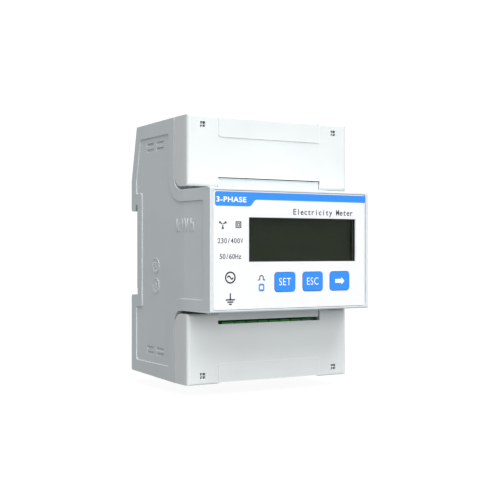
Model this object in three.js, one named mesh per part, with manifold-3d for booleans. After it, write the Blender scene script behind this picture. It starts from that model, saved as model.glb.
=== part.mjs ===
// A three-phase electricity meter for a 35 mm DIN rail, four modules wide.
//
// Frame, in millimetres: the origin is the centre of the face that seats on the rail, +X is to the
// right as seen from the front, the front faces -Y and +Z is up. Depths named below are counted
// forwards from the rail seat, so a depth d lies at y = -d.

import * as THREE from "three";
import { mergeVertices } from "three/addons/utils/BufferGeometryUtils.js";
import Module from "manifold-3d";

const wasm = await Module();
wasm.setup();

// ------------------------------------------------------------------ driving dimensions

// Clearances
const GAP = 0.3; // between pieces that touch or sit in each other
const RUNNING = 0.1; // hinge pin in its bore
const SLIDING = 0.2; // a key or a plunger in its hole

// Case
const WIDTH = 72;
const HEIGHT = 100;
const FRONT = 60; // depth of the hood front
const HOOD = 45; // height of the hood
const SEAM = 33.5; // depth of the joint between case and terminal covers
const SEAM_RADIUS = 5; // where the seam turns into the hood
const WALL = 2;
const BEND = 41; // depth at which the sides start to narrow
const NARROWING = 1; // what each side has lost at the hood front
const EDGE_RADIUS = 0.6;

// Rear of the case
const REAR = 5.5; // how far the lugs stand behind the rail seat
const RAIL = 35; // rail width
const HOOK_PLAY = 0.8; // above the rail's upper edge
const HOOK_BITE = 1.75; // how far the hook reaches down behind the rail
const HOOK_SLOT = 1.3; // for the rail's thickness
const LEDGE_PLAY = 0.6; // below the rail's lower edge
const SEAT_RELIEF = 0.3; // the seat stands this proud of the recess beside it
const SEAT_SHORT = 0.3; // how far the seat ends short of the hook's tip
const LUG_RADIUS = 0.9;
const TOP_SETBACK = 5.1; // how much less deep the upper lug is at its top
const TOP_SLOPE = 21.6; // height over which it gets there
const TOP_DRAFT = 0.4;
const BOTTOM_DRAFT = 1.1;

// Shallow panel in each side
const PANEL_INSET = 4.4;
const PANEL_END_INSET = 5.7;
const PANEL_DEPTH = 0.4;
const PANEL_RADIUS = 1.5;
const GRIP_LENGTH = 6.3; // small slots in the side panel
const GRIP_HEIGHT = 1.2;
const GRIP_DEPTH = 0.5;
const GRIP_COLUMNS = [11.6, 20.5]; // depths of their centres
const GRIP_ROWS_TOP = [8.4, 10.7]; // down from the top end
const GRIP_ROWS_BOTTOM = [9.5, 11.5]; // up from the bottom end

// Terminal covers
const SHOULDER = 44.2; // depth of their faces
const COVER_FACE = 1.8;
const COVER_SHORT = 1.2; // from the hood to the cover's inner edge
const COVER_EDGE_RADIUS = 1.4;
const COVER_SIDE_RADIUS = 1.2; // of the upright edges of a cover's face
const NOTCH_HALF = 23;
const NOTCH_HEIGHT_TOP = 4.8; // from the hood
const NOTCH_HEIGHT_BOTTOM = 5.3;
const CABLE_HALF = 22.8; // half width of the cable opening in the end
const CABLE_LIP = 0.4; // how much shorter the face is there
const SEAL_HOLE = 2.2;
const SEAL_FROM_SIDE = 6.5;
const SEAL_FROM_END = 3.3;

// Cover hinges
const HINGE_DEPTH = 42;
const HINGE_FROM_HOOD = 2.6;
const PIN_RADIUS = 1.2;
const PIN_LENGTH = 3;
const KNUCKLE_RADIUS = 2;
const KNUCKLE_LENGTH = 4;
const SWEEP_RADIUS = 3.1; // the notch edge stays outside this, around the hinge axis
const TONGUE_FRONT = 43.6;
const TONGUE_BACK = 40.6;
const TONGUE_TOP = 4.5; // height of the upper tongue above the hood
const TONGUE_BOTTOM = 3.9; // and of the lower one

// Hood front
const LABEL_RIM = 1.1; // rim between the label and the hood's edge, at the top and bottom
const LABEL_SIDE_RIM = 1.4;
const LABEL_THICK = 0.6;
const LABEL_SET = 0.2; // below the rim
const LABEL_RADIUS = 0.8;
const FRONT_WALL = 2.5;

// Display
const WINDOW_WIDTH = 47.8;
const WINDOW_HEIGHT = 16.2;
const WINDOW_FROM_SIDE = 7; // from the right side of the case
const WINDOW_FROM_TOP = 10.6; // from the top of the hood
const LENS_MARGIN = 0.7; // the clear window is this much wider than what shows
const LENS_THICK = 1.2;
const LENS_LEDGE = 0.8;
const CELL_MARGIN = 1.2;
const CELL_FOOT = 2.2;
const CELL_THICK = 2.6;
const BOARD_THICK = 1.6;
const BOARD_FRONT = 49.7; // depth of the display board's front face

// Keys
const KEY_NAMES = ["set", "esc", "next"];
const KEY_WIDTH = 8.9;
const KEY_HEIGHT = 7;
const KEY_RADIUS = 1.1;
const KEY_PITCH = 12.4;
const KEY_FROM_WINDOW = 7.5; // last key's centre, in from the window's right end
const KEY_FROM_BOTTOM = 10.7; // key centres, up from the bottom of the hood
const KEY_TRAVEL = 0.4;
const KEY_FLANGE = 0.9; // rim behind the front wall that keeps a key in
const SWITCH_SIZE = 6;
const SWITCH_HEIGHT = 3.4;
const PLUNGER_RADIUS = 1.6;

// Pulse light
const LIGHT_SIZE = 1.4;
const LIGHT_FROM_KEY = 10.2; // left of the first key's centre
const LIGHT_BELOW_KEY = 1.9;

// Terminals
const BLOCK_FRONT = 40; // depth of the terminal blocks' faces
const BLOCK_FROM_HOOD = 4.8;
const BLOCK_LENGTH = 15.3;
const BLOCK_END_WALL = 0.4;
const BLOCK_OFFSET = 1.8; // their centre, right of the middle
const TOP_POLES = 4;
const TOP_PITCH = 10.16;
const BOTTOM_POLES = 8;
const BOTTOM_PITCH = 5.08;
const SCREW_FROM_EDGE = 6.2; // screw centres, from the block's edge near the hood
const WIRE_SIZE = 3.7;
const WIRE_BEHIND_CLAMP = 0.9; // from the clamp's front face to the wire hole
const WELL_RADIUS = 2.05; // of the hole over a terminal screw
const TERMINAL_SCREW = { headRadius: 1.75, headHeight: 1.5, shankRadius: 1, shankLength: 4.5 };

// Inside
const MAIN_BOARD_FRONT = 21.7;
const MAIN_BOARD_SHORT = 3.5; // from the end wall's inner face
const FRONT_POST_RADIUS = 1.6; // posts that hold the display board off the front wall
const FRONT_POST_FROM_SIDE = 5.5;
const FRONT_POST_FROM_END = 6;
const CORE = { x: -12, z: 0, width: 20, height: 18, lift: 1, depth: 14 };
const COIL = { width: 14, height: 13, depth: 20 };
const CAPACITORS = [
  { name: "capacitor_large", radius: 5, length: 20, x: 7, z: -9 },
  { name: "capacitor_small", radius: 4, length: 13, x: 18, z: -9 },
];
const CHIP = { x: 9, z: 6, size: 10, thick: 1.5 };
const LINK = { x: 10, z: 15.6, width: 24, height: 4 };
const PARTITION = 1.6;

// Rear base and its screws
const BASE_THICK = 2;
const BASE_SCREW_FROM_SIDE = 6;
const BASE_SCREW_FROM_END = 6.5;
const BASE_SCREW_RADIUS = 1.25;
const BASE_HEAD_RADIUS = 2.6;
const BASE_BOSS_RADIUS = 3.2;
const BASE_SCREW_LENGTH = 12;
const BASE_HEAD_SUNK = 0.4; // a head's seat lies this deep in the base
const BASE_POST_HALF = 1.5; // square posts that the main board rests on
const BASE_POST_INSET = 3; // their centres, in from the board's side and the rail's edge

// Rail foot
const FOOT_HALF = 8;
const FOOT_THICK = 3;
const FOOT_BACK = 3.9; // how far its back lies behind the rail seat
const FOOT_TRAVEL = 4;
const FOOT_BITE = 1.2; // how far it reaches up behind the rail
const FOOT_LIP_HALF = 6.2; // half width of the slot in the channel's outer side
const SPRING_RADIUS = 0.95;
const SPRING_WIRE = 0.22;
const SPRING_TURNS = 6;
const SPRING_LENGTH = 9.4;
const STOP_BELOW_LEDGE = 17.9; // top of the block that the spring stands on
const STOP_HEIGHT = 2.3;
const STOP_HALF = 1.3;

// Seal tab on the top end
const TAB_LENGTH = 16;
const TAB_WIDTH = 10;
const TAB_DEPTH = 17; // depth of its centre
const TAB_FROM_SIDE = 7.5;
const TAB_PROUD = 0.6;
const TAB_SUNK = 0.5;

// ------------------------------------------------------------------ derived places

const HALF_W = WIDTH / 2;
const HALF_H = HEIGHT / 2;
const HALF_HOOD = HOOD / 2;
const INNER_W = HALF_W - WALL;
const HOOK_ROOF = RAIL / 2 + HOOK_PLAY;
const HOOK_TIP = RAIL / 2 - HOOK_BITE;
const SEAT_HALF = HOOK_TIP - SEAT_SHORT;
const LEDGE = -(RAIL / 2 + LEDGE_PLAY);
const TOP_INSIDE = HALF_H - WALL - TOP_DRAFT;
const BOTTOM_INSIDE = -(HALF_H - WALL - BOTTOM_DRAFT);
const HINGE_Z = HALF_HOOD + HINGE_FROM_HOOD;
const TONGUE_HALF = NOTCH_HALF - GAP;
const LABEL_BACK = FRONT - LABEL_SET - LABEL_THICK;
const WALL_FRONT = LABEL_BACK - GAP; // depth of the front wall's outer face
const WALL_BACK = WALL_FRONT - FRONT_WALL;
const PARTITION_BACK = MAIN_BOARD_FRONT + 2 * GAP;
const PARTITION_FRONT = PARTITION_BACK + PARTITION;
const MAIN_BOARD_BACK = MAIN_BOARD_FRONT - BOARD_THICK;
const BASE_SCREW_X = HALF_W - BASE_SCREW_FROM_SIDE;
const BASE_SCREW_Z = HALF_H - BASE_SCREW_FROM_END;
const BOARD_HALF_W = BASE_SCREW_X - BASE_BOSS_RADIUS - 2 * GAP;
const WINDOW = {
  x1: HALF_W - WINDOW_FROM_SIDE,
  x0: HALF_W - WINDOW_FROM_SIDE - WINDOW_WIDTH,
  z1: HALF_HOOD - WINDOW_FROM_TOP,
  z0: HALF_HOOD - WINDOW_FROM_TOP - WINDOW_HEIGHT,
};
const KEY_Z = KEY_FROM_BOTTOM - HALF_HOOD;
const KEY_X = KEY_NAMES.map((_, i) => WINDOW.x1 - KEY_FROM_WINDOW - (KEY_NAMES.length - 1 - i) * KEY_PITCH);
const LIGHT_X = KEY_X[0] - LIGHT_FROM_KEY;
const LIGHT_Z = KEY_Z - LIGHT_BELOW_KEY;

// ------------------------------------------------------------------ solids

/** A closed geometry as a solid that can be joined and cut. */
function solid(geometry) {
  geometry.deleteAttribute("normal");
  geometry.deleteAttribute("uv");
  const merged = mergeVertices(geometry, 1e-4);
  return new wasm.Manifold(
    new wasm.Mesh({
      numProp: 3,
      vertProperties: new Float32Array(merged.attributes.position.array),
      triVerts: new Uint32Array(merged.index.array),
    }),
  );
}

/** A box between two corners, given in any order. */
function box(x0, x1, y0, y1, z0, z1) {
  const geometry = new THREE.BoxGeometry(Math.abs(x1 - x0), Math.abs(y1 - y0), Math.abs(z1 - z0));
  return solid(geometry.translate((x0 + x1) / 2, (y0 + y1) / 2, (z0 + z1) / 2));
}

/** An outline through corners [u, v, radius], each rounded to its radius. */
function outline(corners, steps = 5) {
  const points = [];
  corners.forEach(([u, v, radius = 0], i) => {
    const corner = new THREE.Vector2(u, v);
    if (radius === 0) {
      points.push(corner);
      return;
    }
    const before = corners.at(i - 1);
    const after = corners[(i + 1) % corners.length];
    const toBefore = new THREE.Vector2(before[0] - u, before[1] - v).normalize();
    const toAfter = new THREE.Vector2(after[0] - u, after[1] - v).normalize();
    const half = Math.acos(THREE.MathUtils.clamp(toBefore.dot(toAfter), -1, 1)) / 2;
    const middle = toBefore.clone().add(toAfter).normalize();
    const centre = corner.clone().addScaledVector(middle, radius / Math.sin(half));
    const start = corner.clone().addScaledVector(toBefore, radius / Math.tan(half)).sub(centre);
    const end = corner.clone().addScaledVector(toAfter, radius / Math.tan(half)).sub(centre);
    const turn = Math.atan2(start.cross(end), start.dot(end));
    for (let k = 0; k <= steps; k += 1) {
      points.push(start.clone().rotateAround(new THREE.Vector2(), (turn * k) / steps).add(centre));
    }
  });
  return new THREE.Shape(points);
}

/** Corners of a rectangle, all rounded alike. */
function rectangle(u0, u1, v0, v1, radius = 0) {
  return [
    [u0, v0, radius],
    [u1, v0, radius],
    [u1, v1, radius],
    [u0, v1, radius],
  ];
}

/** An outline swept from the origin along the third of the given axes. */
function sweep(shape, length, axes, shift) {
  const geometry = new THREE.ExtrudeGeometry(shape, { depth: length, bevelEnabled: false });
  geometry.applyMatrix4(new THREE.Matrix4().makeBasis(...axes));
  return solid(geometry.translate(...shift));
}

const AXIS_X = new THREE.Vector3(1, 0, 0);
const AXIS_Y = new THREE.Vector3(0, 1, 0);
const AXIS_Z = new THREE.Vector3(0, 0, 1);
const AXIS_FRONT = new THREE.Vector3(0, -1, 0);

/** A (y, z) outline between two x. */
function alongX(shape, x0, x1) {
  return sweep(shape, x1 - x0, [AXIS_Y, AXIS_Z, AXIS_X], [x0, 0, 0]);
}

/** An (x, z) outline between two depths, the larger first. */
function alongY(shape, front, back) {
  return sweep(shape, front - back, [AXIS_X, AXIS_Z, AXIS_FRONT], [0, -back, 0]);
}

/** An (x, y) outline between two z. */
function alongZ(shape, z0, z1) {
  return sweep(shape, z1 - z0, [AXIS_X, AXIS_Y, AXIS_Z], [0, 0, z0]);
}

/** A round bar along X about (y, z). */
function barX(radius, x0, x1, y, z, sides = 24) {
  const geometry = new THREE.CylinderGeometry(radius, radius, x1 - x0, sides);
  return solid(geometry.rotateZ(-Math.PI / 2).translate((x0 + x1) / 2, y, z));
}

/** A round bar along Y about (x, z), between two y. */
function barY(radius, y0, y1, x, z, sides = 20) {
  const geometry = new THREE.CylinderGeometry(radius, radius, y1 - y0, sides);
  return solid(geometry.translate(x, (y0 + y1) / 2, z));
}

const join = (first, ...others) => others.reduce((whole, other) => whole.add(other), first);
const cut = (first, ...others) => others.reduce((whole, other) => whole.subtract(other), first);

// ------------------------------------------------------------------ materials

const finish = (color, roughness, metalness) => new THREE.MeshStandardMaterial({ color, roughness, metalness });
const plastic = (color, roughness = 0.55) => finish(color, roughness, 0);
const metal = (color, roughness = 0.35) => finish(color, roughness, 1);

const CASE_GREY = 0xc4c9cb;
const COVER_GREY = 0xd5dada;
const LABEL_WHITE = 0xf7f8fa;
const KEY_BLUE = 0x3d9bff;
const TERMINAL_GREEN = 0x2d7a35;
const BOARD_GREEN = 0x1c5a3a;
const BLACK = 0x1a1a1c;

/** A named mesh of a solid. */
function piece(name, shape, material) {
  const { vertProperties, triVerts } = shape.getMesh();
  const geometry = new THREE.BufferGeometry();
  geometry.setAttribute("position", new THREE.BufferAttribute(new Float32Array(vertProperties), 3));
  geometry.setIndex(new THREE.BufferAttribute(new Uint32Array(triVerts), 1));
  geometry.computeVertexNormals();
  const mesh = new THREE.Mesh(geometry, material);
  mesh.name = name;
  return mesh;
}

// ------------------------------------------------------------------ case and rear base

/** The whole side profile, in (y, z): hood, seams, lugs and rail recess. */
function caseOutline() {
  const slopeStart = HALF_H - TOP_DRAFT - TOP_SLOPE;
  return outline([
    [-FRONT, -HALF_HOOD, EDGE_RADIUS],
    [-SEAM, -HALF_HOOD, SEAM_RADIUS],
    [-SEAM, -HALF_H],
    [REAR, -HALF_H + BOTTOM_DRAFT, LUG_RADIUS],
    [REAR, LEDGE, LUG_RADIUS],
    [-SEAT_RELIEF, LEDGE],
    [-SEAT_RELIEF, -SEAT_HALF],
    [0, -SEAT_HALF],
    [0, SEAT_HALF],
    [-SEAT_RELIEF, SEAT_HALF],
    [-SEAT_RELIEF, HOOK_ROOF],
    [HOOK_SLOT, HOOK_ROOF],
    [HOOK_SLOT + 1, HOOK_TIP],
    [REAR, HOOK_TIP, LUG_RADIUS],
    [REAR, slopeStart],
    [REAR - TOP_SETBACK, HALF_H - TOP_DRAFT],
    [-SEAM, HALF_H],
    [-SEAM, HALF_HOOD, SEAM_RADIUS],
    [-FRONT, HALF_HOOD, EDGE_RADIUS],
  ]);
}

/** What the narrowing takes off one side (1 right, -1 left), moved in by a depth for the panel. */
function narrowing(side, inset = 0) {
  const face = HALF_W - inset;
  const rate = NARROWING / (FRONT - BEND);
  const shape = outline([
    [side * face, -BEND],
    [side * (face - rate * (FRONT + 1 - BEND)), -FRONT - 1],
    [side * (HALF_W + 1), -FRONT - 1],
    [side * (HALF_W + 1), REAR + 1],
    [side * face, REAR + 1],
  ]);
  return alongZ(shape, -HALF_H - 1, HALF_H + 1);
}

/** The outline of the shallow side panel, set in from the case's own outline. */
function panelOutline() {
  const hood = HALF_HOOD - PANEL_INSET;
  const seam = -(SEAM - PANEL_INSET);
  const end = HALF_H - PANEL_END_INSET;
  const lug = REAR - PANEL_INSET;
  const slope = TOP_SETBACK / TOP_SLOPE;
  const slopeStart = HALF_H - TOP_DRAFT - TOP_SLOPE;
  const step = HOOK_ROOF + PANEL_INSET;
  return outline([
    [-FRONT + PANEL_INSET, -hood, PANEL_RADIUS],
    [seam, -hood, SEAM_RADIUS + PANEL_INSET],
    [seam, -end, PANEL_RADIUS],
    [lug, -end, PANEL_RADIUS],
    [lug, -step, PANEL_RADIUS / 2],
    [-PANEL_INSET, -step, PANEL_RADIUS / 2],
    [-PANEL_INSET, step, PANEL_RADIUS / 2],
    [lug, step, PANEL_RADIUS / 2],
    [lug, slopeStart],
    [lug - (end - slopeStart) * slope, end, PANEL_RADIUS],
    [seam, end, PANEL_RADIUS],
    [seam, hood, SEAM_RADIUS + PANEL_INSET],
    [-FRONT + PANEL_INSET, hood, PANEL_RADIUS],
  ]);
}

/** The panel and its small slots, as what they take off one side. */
function sidePanel(side) {
  const reach = side > 0 ? [INNER_W, HALF_W + 1] : [-HALF_W - 1, -INNER_W];
  const panel = alongX(panelOutline(), ...reach).intersect(narrowing(side, PANEL_DEPTH));
  const floor = side * (HALF_W - PANEL_DEPTH);
  const rows = [...GRIP_ROWS_TOP.map((z) => HALF_H - z), ...GRIP_ROWS_BOTTOM.map((z) => z - HALF_H)];
  const slots = rows.flatMap((z) =>
    GRIP_COLUMNS.map((depth) =>
      box(
        floor - side * GRIP_DEPTH,
        side * (HALF_W + 1),
        -depth - GRIP_LENGTH / 2,
        -depth + GRIP_LENGTH / 2,
        z - GRIP_HEIGHT / 2,
        z + GRIP_HEIGHT / 2,
      ),
    ),
  );
  return join(panel, ...slots);
}

/** Rear room, hood room and the two terminal rooms. */
function caseRooms() {
  const rear = box(-INNER_W, INNER_W, -PARTITION_BACK, REAR + 1, BOTTOM_INSIDE, TOP_INSIDE);
  const hood = box(
    -INNER_W, INNER_W, -WALL_BACK, -PARTITION_BACK + 1, WALL - HALF_HOOD, HALF_HOOD - WALL,
  );
  const top = box(-INNER_W, INNER_W, -SHOULDER, -PARTITION_FRONT, HALF_HOOD, TOP_INSIDE);
  const bottom = box(-INNER_W, INNER_W, -SHOULDER, -PARTITION_FRONT, -HALF_HOOD, BOTTOM_INSIDE);
  return [rear, hood, top, bottom];
}

/** The label's recess and the holes in the front wall. */
function frontOpenings() {
  const halfW = HALF_W - NARROWING - LABEL_SIDE_RIM + SLIDING;
  const halfH = HALF_HOOD - LABEL_RIM + SLIDING;
  const recess = alongY(
    outline(rectangle(-halfW, halfW, -halfH, halfH, LABEL_RADIUS + SLIDING)), FRONT + 1, WALL_FRONT,
  );
  const around = LENS_MARGIN + GAP;
  const seat = box(
    WINDOW.x0 - around, WINDOW.x1 + around, -WALL_FRONT - 1, -(WALL_BACK + LENS_LEDGE),
    WINDOW.z0 - around, WINDOW.z1 + around,
  );
  const view = box(WINDOW.x0, WINDOW.x1, -WALL_FRONT, -WALL_BACK + 1, WINDOW.z0, WINDOW.z1);
  const keys = KEY_X.map((x) => alongY(keyOutline(x, GAP), WALL_FRONT + 1, WALL_BACK - 1));
  const light = lightBar(GAP, WALL_FRONT + 1, WALL_BACK - 1);
  return [recess, seat, view, ...keys, light];
}

/** Outline of a key about its centre, larger all round by a margin. */
function keyOutline(x, margin) {
  const halfW = KEY_WIDTH / 2 + margin;
  const halfH = KEY_HEIGHT / 2 + margin;
  return outline(rectangle(x - halfW, x + halfW, KEY_Z - halfH, KEY_Z + halfH, KEY_RADIUS + margin), 4);
}

/** A square bar at the pulse light, larger all round by a margin, between two depths. */
function lightBar(margin, front, back) {
  const half = LIGHT_SIZE / 2 + margin;
  return box(LIGHT_X - half, LIGHT_X + half, -front, -back, LIGHT_Z - half, LIGHT_Z + half);
}

/** The opening in a partition through which its terminal block passes, and the cable opening. */
function endOpenings(end, blockHalf) {
  const z0 = HALF_HOOD + BLOCK_FROM_HOOD - GAP;
  const z1 = HALF_HOOD + BLOCK_FROM_HOOD + BLOCK_LENGTH + GAP;
  const half = blockHalf + GAP;
  const block = box(
    BLOCK_OFFSET - half, BLOCK_OFFSET + half, -PARTITION_FRONT - 1, -PARTITION_BACK + 1, end * z0, end * z1,
  );
  const cable = box(
    -CABLE_HALF, CABLE_HALF, -SEAM - 1, -PARTITION_FRONT, end * (HALF_H - WALL - 2), end * (HALF_H + 1),
  );
  return [block, cable];
}

/** A tongue beside the hood with a stub pin at each end. */
function tongue(end, height) {
  const bar = box(
    -TONGUE_HALF, TONGUE_HALF, -TONGUE_FRONT, -TONGUE_BACK, end * (HALF_HOOD - 1), end * (HALF_HOOD + height),
  );
  const reach = TONGUE_HALF + PIN_LENGTH;
  return join(bar, barX(PIN_RADIUS, -reach, reach, -HINGE_DEPTH, end * HINGE_Z));
}

/** A post behind a seal hole, with the groove that a seal wire passes. */
function sealPost(side, end) {
  const x = side * (HALF_W - SEAL_FROM_SIDE);
  const z = HALF_H - SEAL_FROM_END;
  const half = SEAL_HOLE / 2;
  const outer = HALF_H - WALL - GAP;
  const front = SHOULDER - COVER_FACE - 2 * GAP;
  const post = box(x - half - 1, x + half + 1, -front, -PARTITION_BACK, end * (z - half - 1.4), end * outer);
  const groove = box(x - half, x + half, -front - 1, -SEAM, end * (z - half), end * (outer + 1));
  return cut(post, groove);
}

/** A boss for a base screw, with its pilot hole. */
function baseBoss(side, end) {
  const x = side * BASE_SCREW_X;
  const z = end * BASE_SCREW_Z;
  const back = BASE_THICK + GAP;
  const boss = barY(BASE_BOSS_RADIUS, -PARTITION_BACK - 0.5, -back, x, z);
  return cut(boss, barY(BASE_SCREW_RADIUS + GAP, -back - BASE_SCREW_LENGTH - 2, -back + 1, x, z, 12));
}

/** A post that holds the display board off the front wall. */
function boardPost(side, end) {
  const x = side * (HALF_W - FRONT_POST_FROM_SIDE);
  const z = end * (HALF_HOOD - FRONT_POST_FROM_END);
  return barY(FRONT_POST_RADIUS, -WALL_BACK - 0.5, -BOARD_FRONT - GAP, x, z, 12);
}

const corners = (build) => [-1, 1].flatMap((side) => [-1, 1].map((end) => build(side, end)));

function mainCase() {
  const body = alongX(caseOutline(), -HALF_W, HALF_W);
  const footHalf = FOOT_HALF + 2 * GAP;
  const footFront = FOOT_BACK - FOOT_THICK - 2 * GAP;
  const footNotch = box(-footHalf, footHalf, footFront, REAR + 1, BOTTOM_INSIDE + 1, -HALF_H - 1);
  const hollow = cut(
    body,
    ...caseRooms(),
    ...frontOpenings(),
    ...endOpenings(1, blockHalfWidth(TOP_POLES, TOP_PITCH)),
    ...endOpenings(-1, blockHalfWidth(BOTTOM_POLES, BOTTOM_PITCH)),
    footNotch,
    tabPlate(GAP, HALF_H + 1),
  );
  const fitted = join(
    hollow,
    tongue(1, TONGUE_TOP),
    tongue(-1, TONGUE_BOTTOM),
    ...corners(sealPost),
    ...corners(baseBoss),
    ...corners(boardPost),
  );
  return piece(
    "main_case",
    cut(fitted, narrowing(-1), narrowing(1), sidePanel(-1), sidePanel(1)),
    plastic(CASE_GREY),
  );
}

/** The seal tab's plate, larger all round by a margin, up to a given z. */
function tabPlate(margin, top) {
  const x = TAB_FROM_SIDE - HALF_W;
  const halfX = TAB_WIDTH / 2 + margin;
  const halfY = TAB_LENGTH / 2 + margin;
  const bottom = HALF_H - TAB_SUNK - margin;
  return box(x - halfX, x + halfX, -TAB_DEPTH - halfY, -TAB_DEPTH + halfY, bottom, top);
}

function sealTab() {
  return piece("top_seal_tab", tabPlate(0, HALF_H + TAB_PROUD), plastic(0xc9b3b2));
}

/** The channel that the rail foot slides in, open to the outside between two lips. */
function footChannel() {
  const top = LEDGE + 1;
  const bottom = -HALF_H;
  const half = FOOT_HALF + GAP;
  const floor = FOOT_BACK - FOOT_THICK - GAP;
  const lips = FOOT_BACK + GAP;
  return join(
    box(-half, half, floor, lips, bottom, top),
    box(-FOOT_LIP_HALF, FOOT_LIP_HALF, floor, REAR + 1, bottom, top),
  );
}

/** The block in the channel that the foot's spring stands on. */
const SPRING_STOP = { top: LEDGE - STOP_BELOW_LEDGE, height: STOP_HEIGHT };

function rearBase() {
  const half = INNER_W - GAP;
  const roomHalf = BASE_SCREW_X - BASE_HEAD_RADIUS - 1.4;
  const channelSide = FOOT_HALF + GAP + WALL;
  const slopeStart = HALF_H - TOP_DRAFT - TOP_SLOPE;
  const roomTop = TOP_INSIDE - GAP - WALL;
  const lean = ((roomTop - slopeStart) * TOP_SETBACK) / TOP_SLOPE;
  const upperRoom = alongX(
    outline([
      [-BASE_THICK - 1, HOOK_ROOF + WALL],
      [REAR - WALL, HOOK_ROOF + WALL],
      [REAR - WALL, slopeStart],
      [REAR - WALL - lean, roomTop],
      [-BASE_THICK - 1, roomTop],
    ]),
    -roomHalf,
    roomHalf,
  );
  const lowerRooms = [-1, 1].map((side) =>
    box(
      side * channelSide, side * roomHalf, -BASE_THICK - 1, REAR - WALL,
      LEDGE - WALL, BOTTOM_INSIDE + GAP + WALL,
    ),
  );
  const screwHoles = corners((side, end) =>
    join(
      barY(BASE_SCREW_RADIUS + GAP, -BASE_THICK - 1, REAR + 1, side * BASE_SCREW_X, end * BASE_SCREW_Z, 12),
      barY(BASE_HEAD_RADIUS + GAP, -BASE_HEAD_SUNK, REAR + 1, side * BASE_SCREW_X, end * BASE_SCREW_Z),
    ),
  );
  const posts = corners((side, end) => {
    const x = side * (BOARD_HALF_W - BASE_POST_INSET);
    const z = end * (RAIL / 2 - BASE_POST_INSET);
    const half = BASE_POST_HALF;
    return box(x - half, x + half, -MAIN_BOARD_BACK + GAP, 0.5 - BASE_THICK, z - half, z + half);
  });
  const stopTop = SPRING_STOP.top;
  const floor = FOOT_BACK - FOOT_THICK - GAP;
  const stopBottom = stopTop - SPRING_STOP.height;
  const stop = box(-STOP_HALF, STOP_HALF, floor - 0.5, FOOT_BACK - GAP, stopBottom, stopTop);
  const slab = alongX(caseOutline(), -half, half).intersect(
    box(-half, half, -BASE_THICK, REAR + 1, BOTTOM_INSIDE + GAP, TOP_INSIDE - GAP),
  );
  return piece(
    "rear_base",
    join(cut(slab, upperRoom, ...lowerRooms, footChannel(), ...screwHoles), ...posts, stop),
    plastic(CASE_GREY),
  );
}

/** A pan-head screw along +Y, its head's seat at the origin and its shank towards -Y. */
function screw(name, { headRadius, headHeight, shankRadius, shankLength }, material) {
  const slot = box(-headRadius, headRadius, headHeight - 0.5, headHeight + 1, -0.35, 0.35);
  const head = cut(barY(headRadius, 0, headHeight, 0, 0, 18), slot);
  return piece(name, join(head, barY(shankRadius, -shankLength, 0.2, 0, 0, 12)), material);
}

function baseScrews() {
  return corners((side, end) => {
    const name = `base_screw_${end > 0 ? "top" : "bottom"}_${side > 0 ? "right" : "left"}`;
    const sizes = {
      headRadius: BASE_HEAD_RADIUS,
      headHeight: 1.6,
      shankRadius: BASE_SCREW_RADIUS,
      shankLength: BASE_SCREW_LENGTH,
    };
    const mesh = screw(name, sizes, metal(0xb9bcc0));
    mesh.position.set(side * BASE_SCREW_X, GAP - BASE_HEAD_SUNK, end * BASE_SCREW_Z);
    return mesh;
  });
}

// ------------------------------------------------------------------ rail foot

function railFoot() {
  const front = FOOT_BACK - FOOT_THICK;
  const lipTop = -(RAIL / 2) + FOOT_BITE;
  const bottom = -HALF_H + 0.2;
  const plate = box(-FOOT_HALF, FOOT_HALF, front, FOOT_BACK, bottom, LEDGE - GAP);
  const lip = alongX(
    outline([
      [HOOK_SLOT, LEDGE - 1],
      [FOOT_BACK, LEDGE - 1],
      [FOOT_BACK, lipTop - 1],
      [FOOT_BACK - 1, lipTop],
      [HOOK_SLOT, lipTop],
    ]),
    -FOOT_HALF,
    FOOT_HALF,
  );
  const padHalf = FOOT_LIP_HALF - GAP;
  const pad = box(-padHalf, padHalf, FOOT_BACK - 1, REAR - GAP, BOTTOM_INSIDE + 2, LEDGE - 2);
  const tab = box(-FOOT_HALF, FOOT_HALF, FOOT_BACK - 1, REAR - GAP, bottom, BOTTOM_INSIDE - GAP);
  const pry = box(-2.6, 2.6, front - 1, REAR + 1, bottom + 0.7, bottom + 1.9);
  const pocketHalf = Math.max(SPRING_RADIUS + SPRING_WIRE, STOP_HALF) + GAP;
  const pocket = box(
    -pocketHalf, pocketHalf, front - 1, FOOT_BACK,
    SPRING_STOP.top - SPRING_STOP.height - GAP, SPRING_STOP.top + SPRING_LENGTH + 2 * GAP,
  );
  return piece("rail_foot", cut(join(plate, lip, pad, tab), pry, pocket), plastic(0x2f3235));
}

/** The coil of the foot's spring, as a helix along Z. */
class CoilCurve extends THREE.Curve {
  getPoint(t, target = new THREE.Vector3()) {
    const angle = 2 * Math.PI * SPRING_TURNS * t;
    const rise = SPRING_WIRE + t * (SPRING_LENGTH - 2 * SPRING_WIRE);
    return target.set(SPRING_RADIUS * Math.cos(angle), SPRING_RADIUS * Math.sin(angle), rise);
  }
}

function footSpring() {
  const wire = new THREE.Shape();
  wire.absarc(0, 0, SPRING_WIRE, 0, 2 * Math.PI);
  const geometry = new THREE.ExtrudeGeometry(wire, {
    steps: SPRING_TURNS * 9,
    curveSegments: 3,
    extrudePath: new CoilCurve(),
  });
  const mesh = piece("foot_spring", solid(geometry), metal(0xc9ccd0));
  mesh.position.set(0, FOOT_BACK - FOOT_THICK / 2, SPRING_STOP.top + GAP);
  return mesh;
}

// ------------------------------------------------------------------ terminal ends

/** Half the width of a terminal block. */
function blockHalfWidth(poles, pitch) {
  return (poles * pitch) / 2 + BLOCK_END_WALL;
}

/** The side profile of a terminal cover, in (y, z), for the top end. */
function coverOutline() {
  const inner = HALF_HOOD + COVER_SHORT;
  return outline([
    [-SEAM - GAP, inner, SEAM_RADIUS],
    [-SEAM - GAP, HALF_H],
    [-SHOULDER, HALF_H, EDGE_RADIUS],
    [-SHOULDER, inner, COVER_EDGE_RADIUS],
  ]);
}

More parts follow.
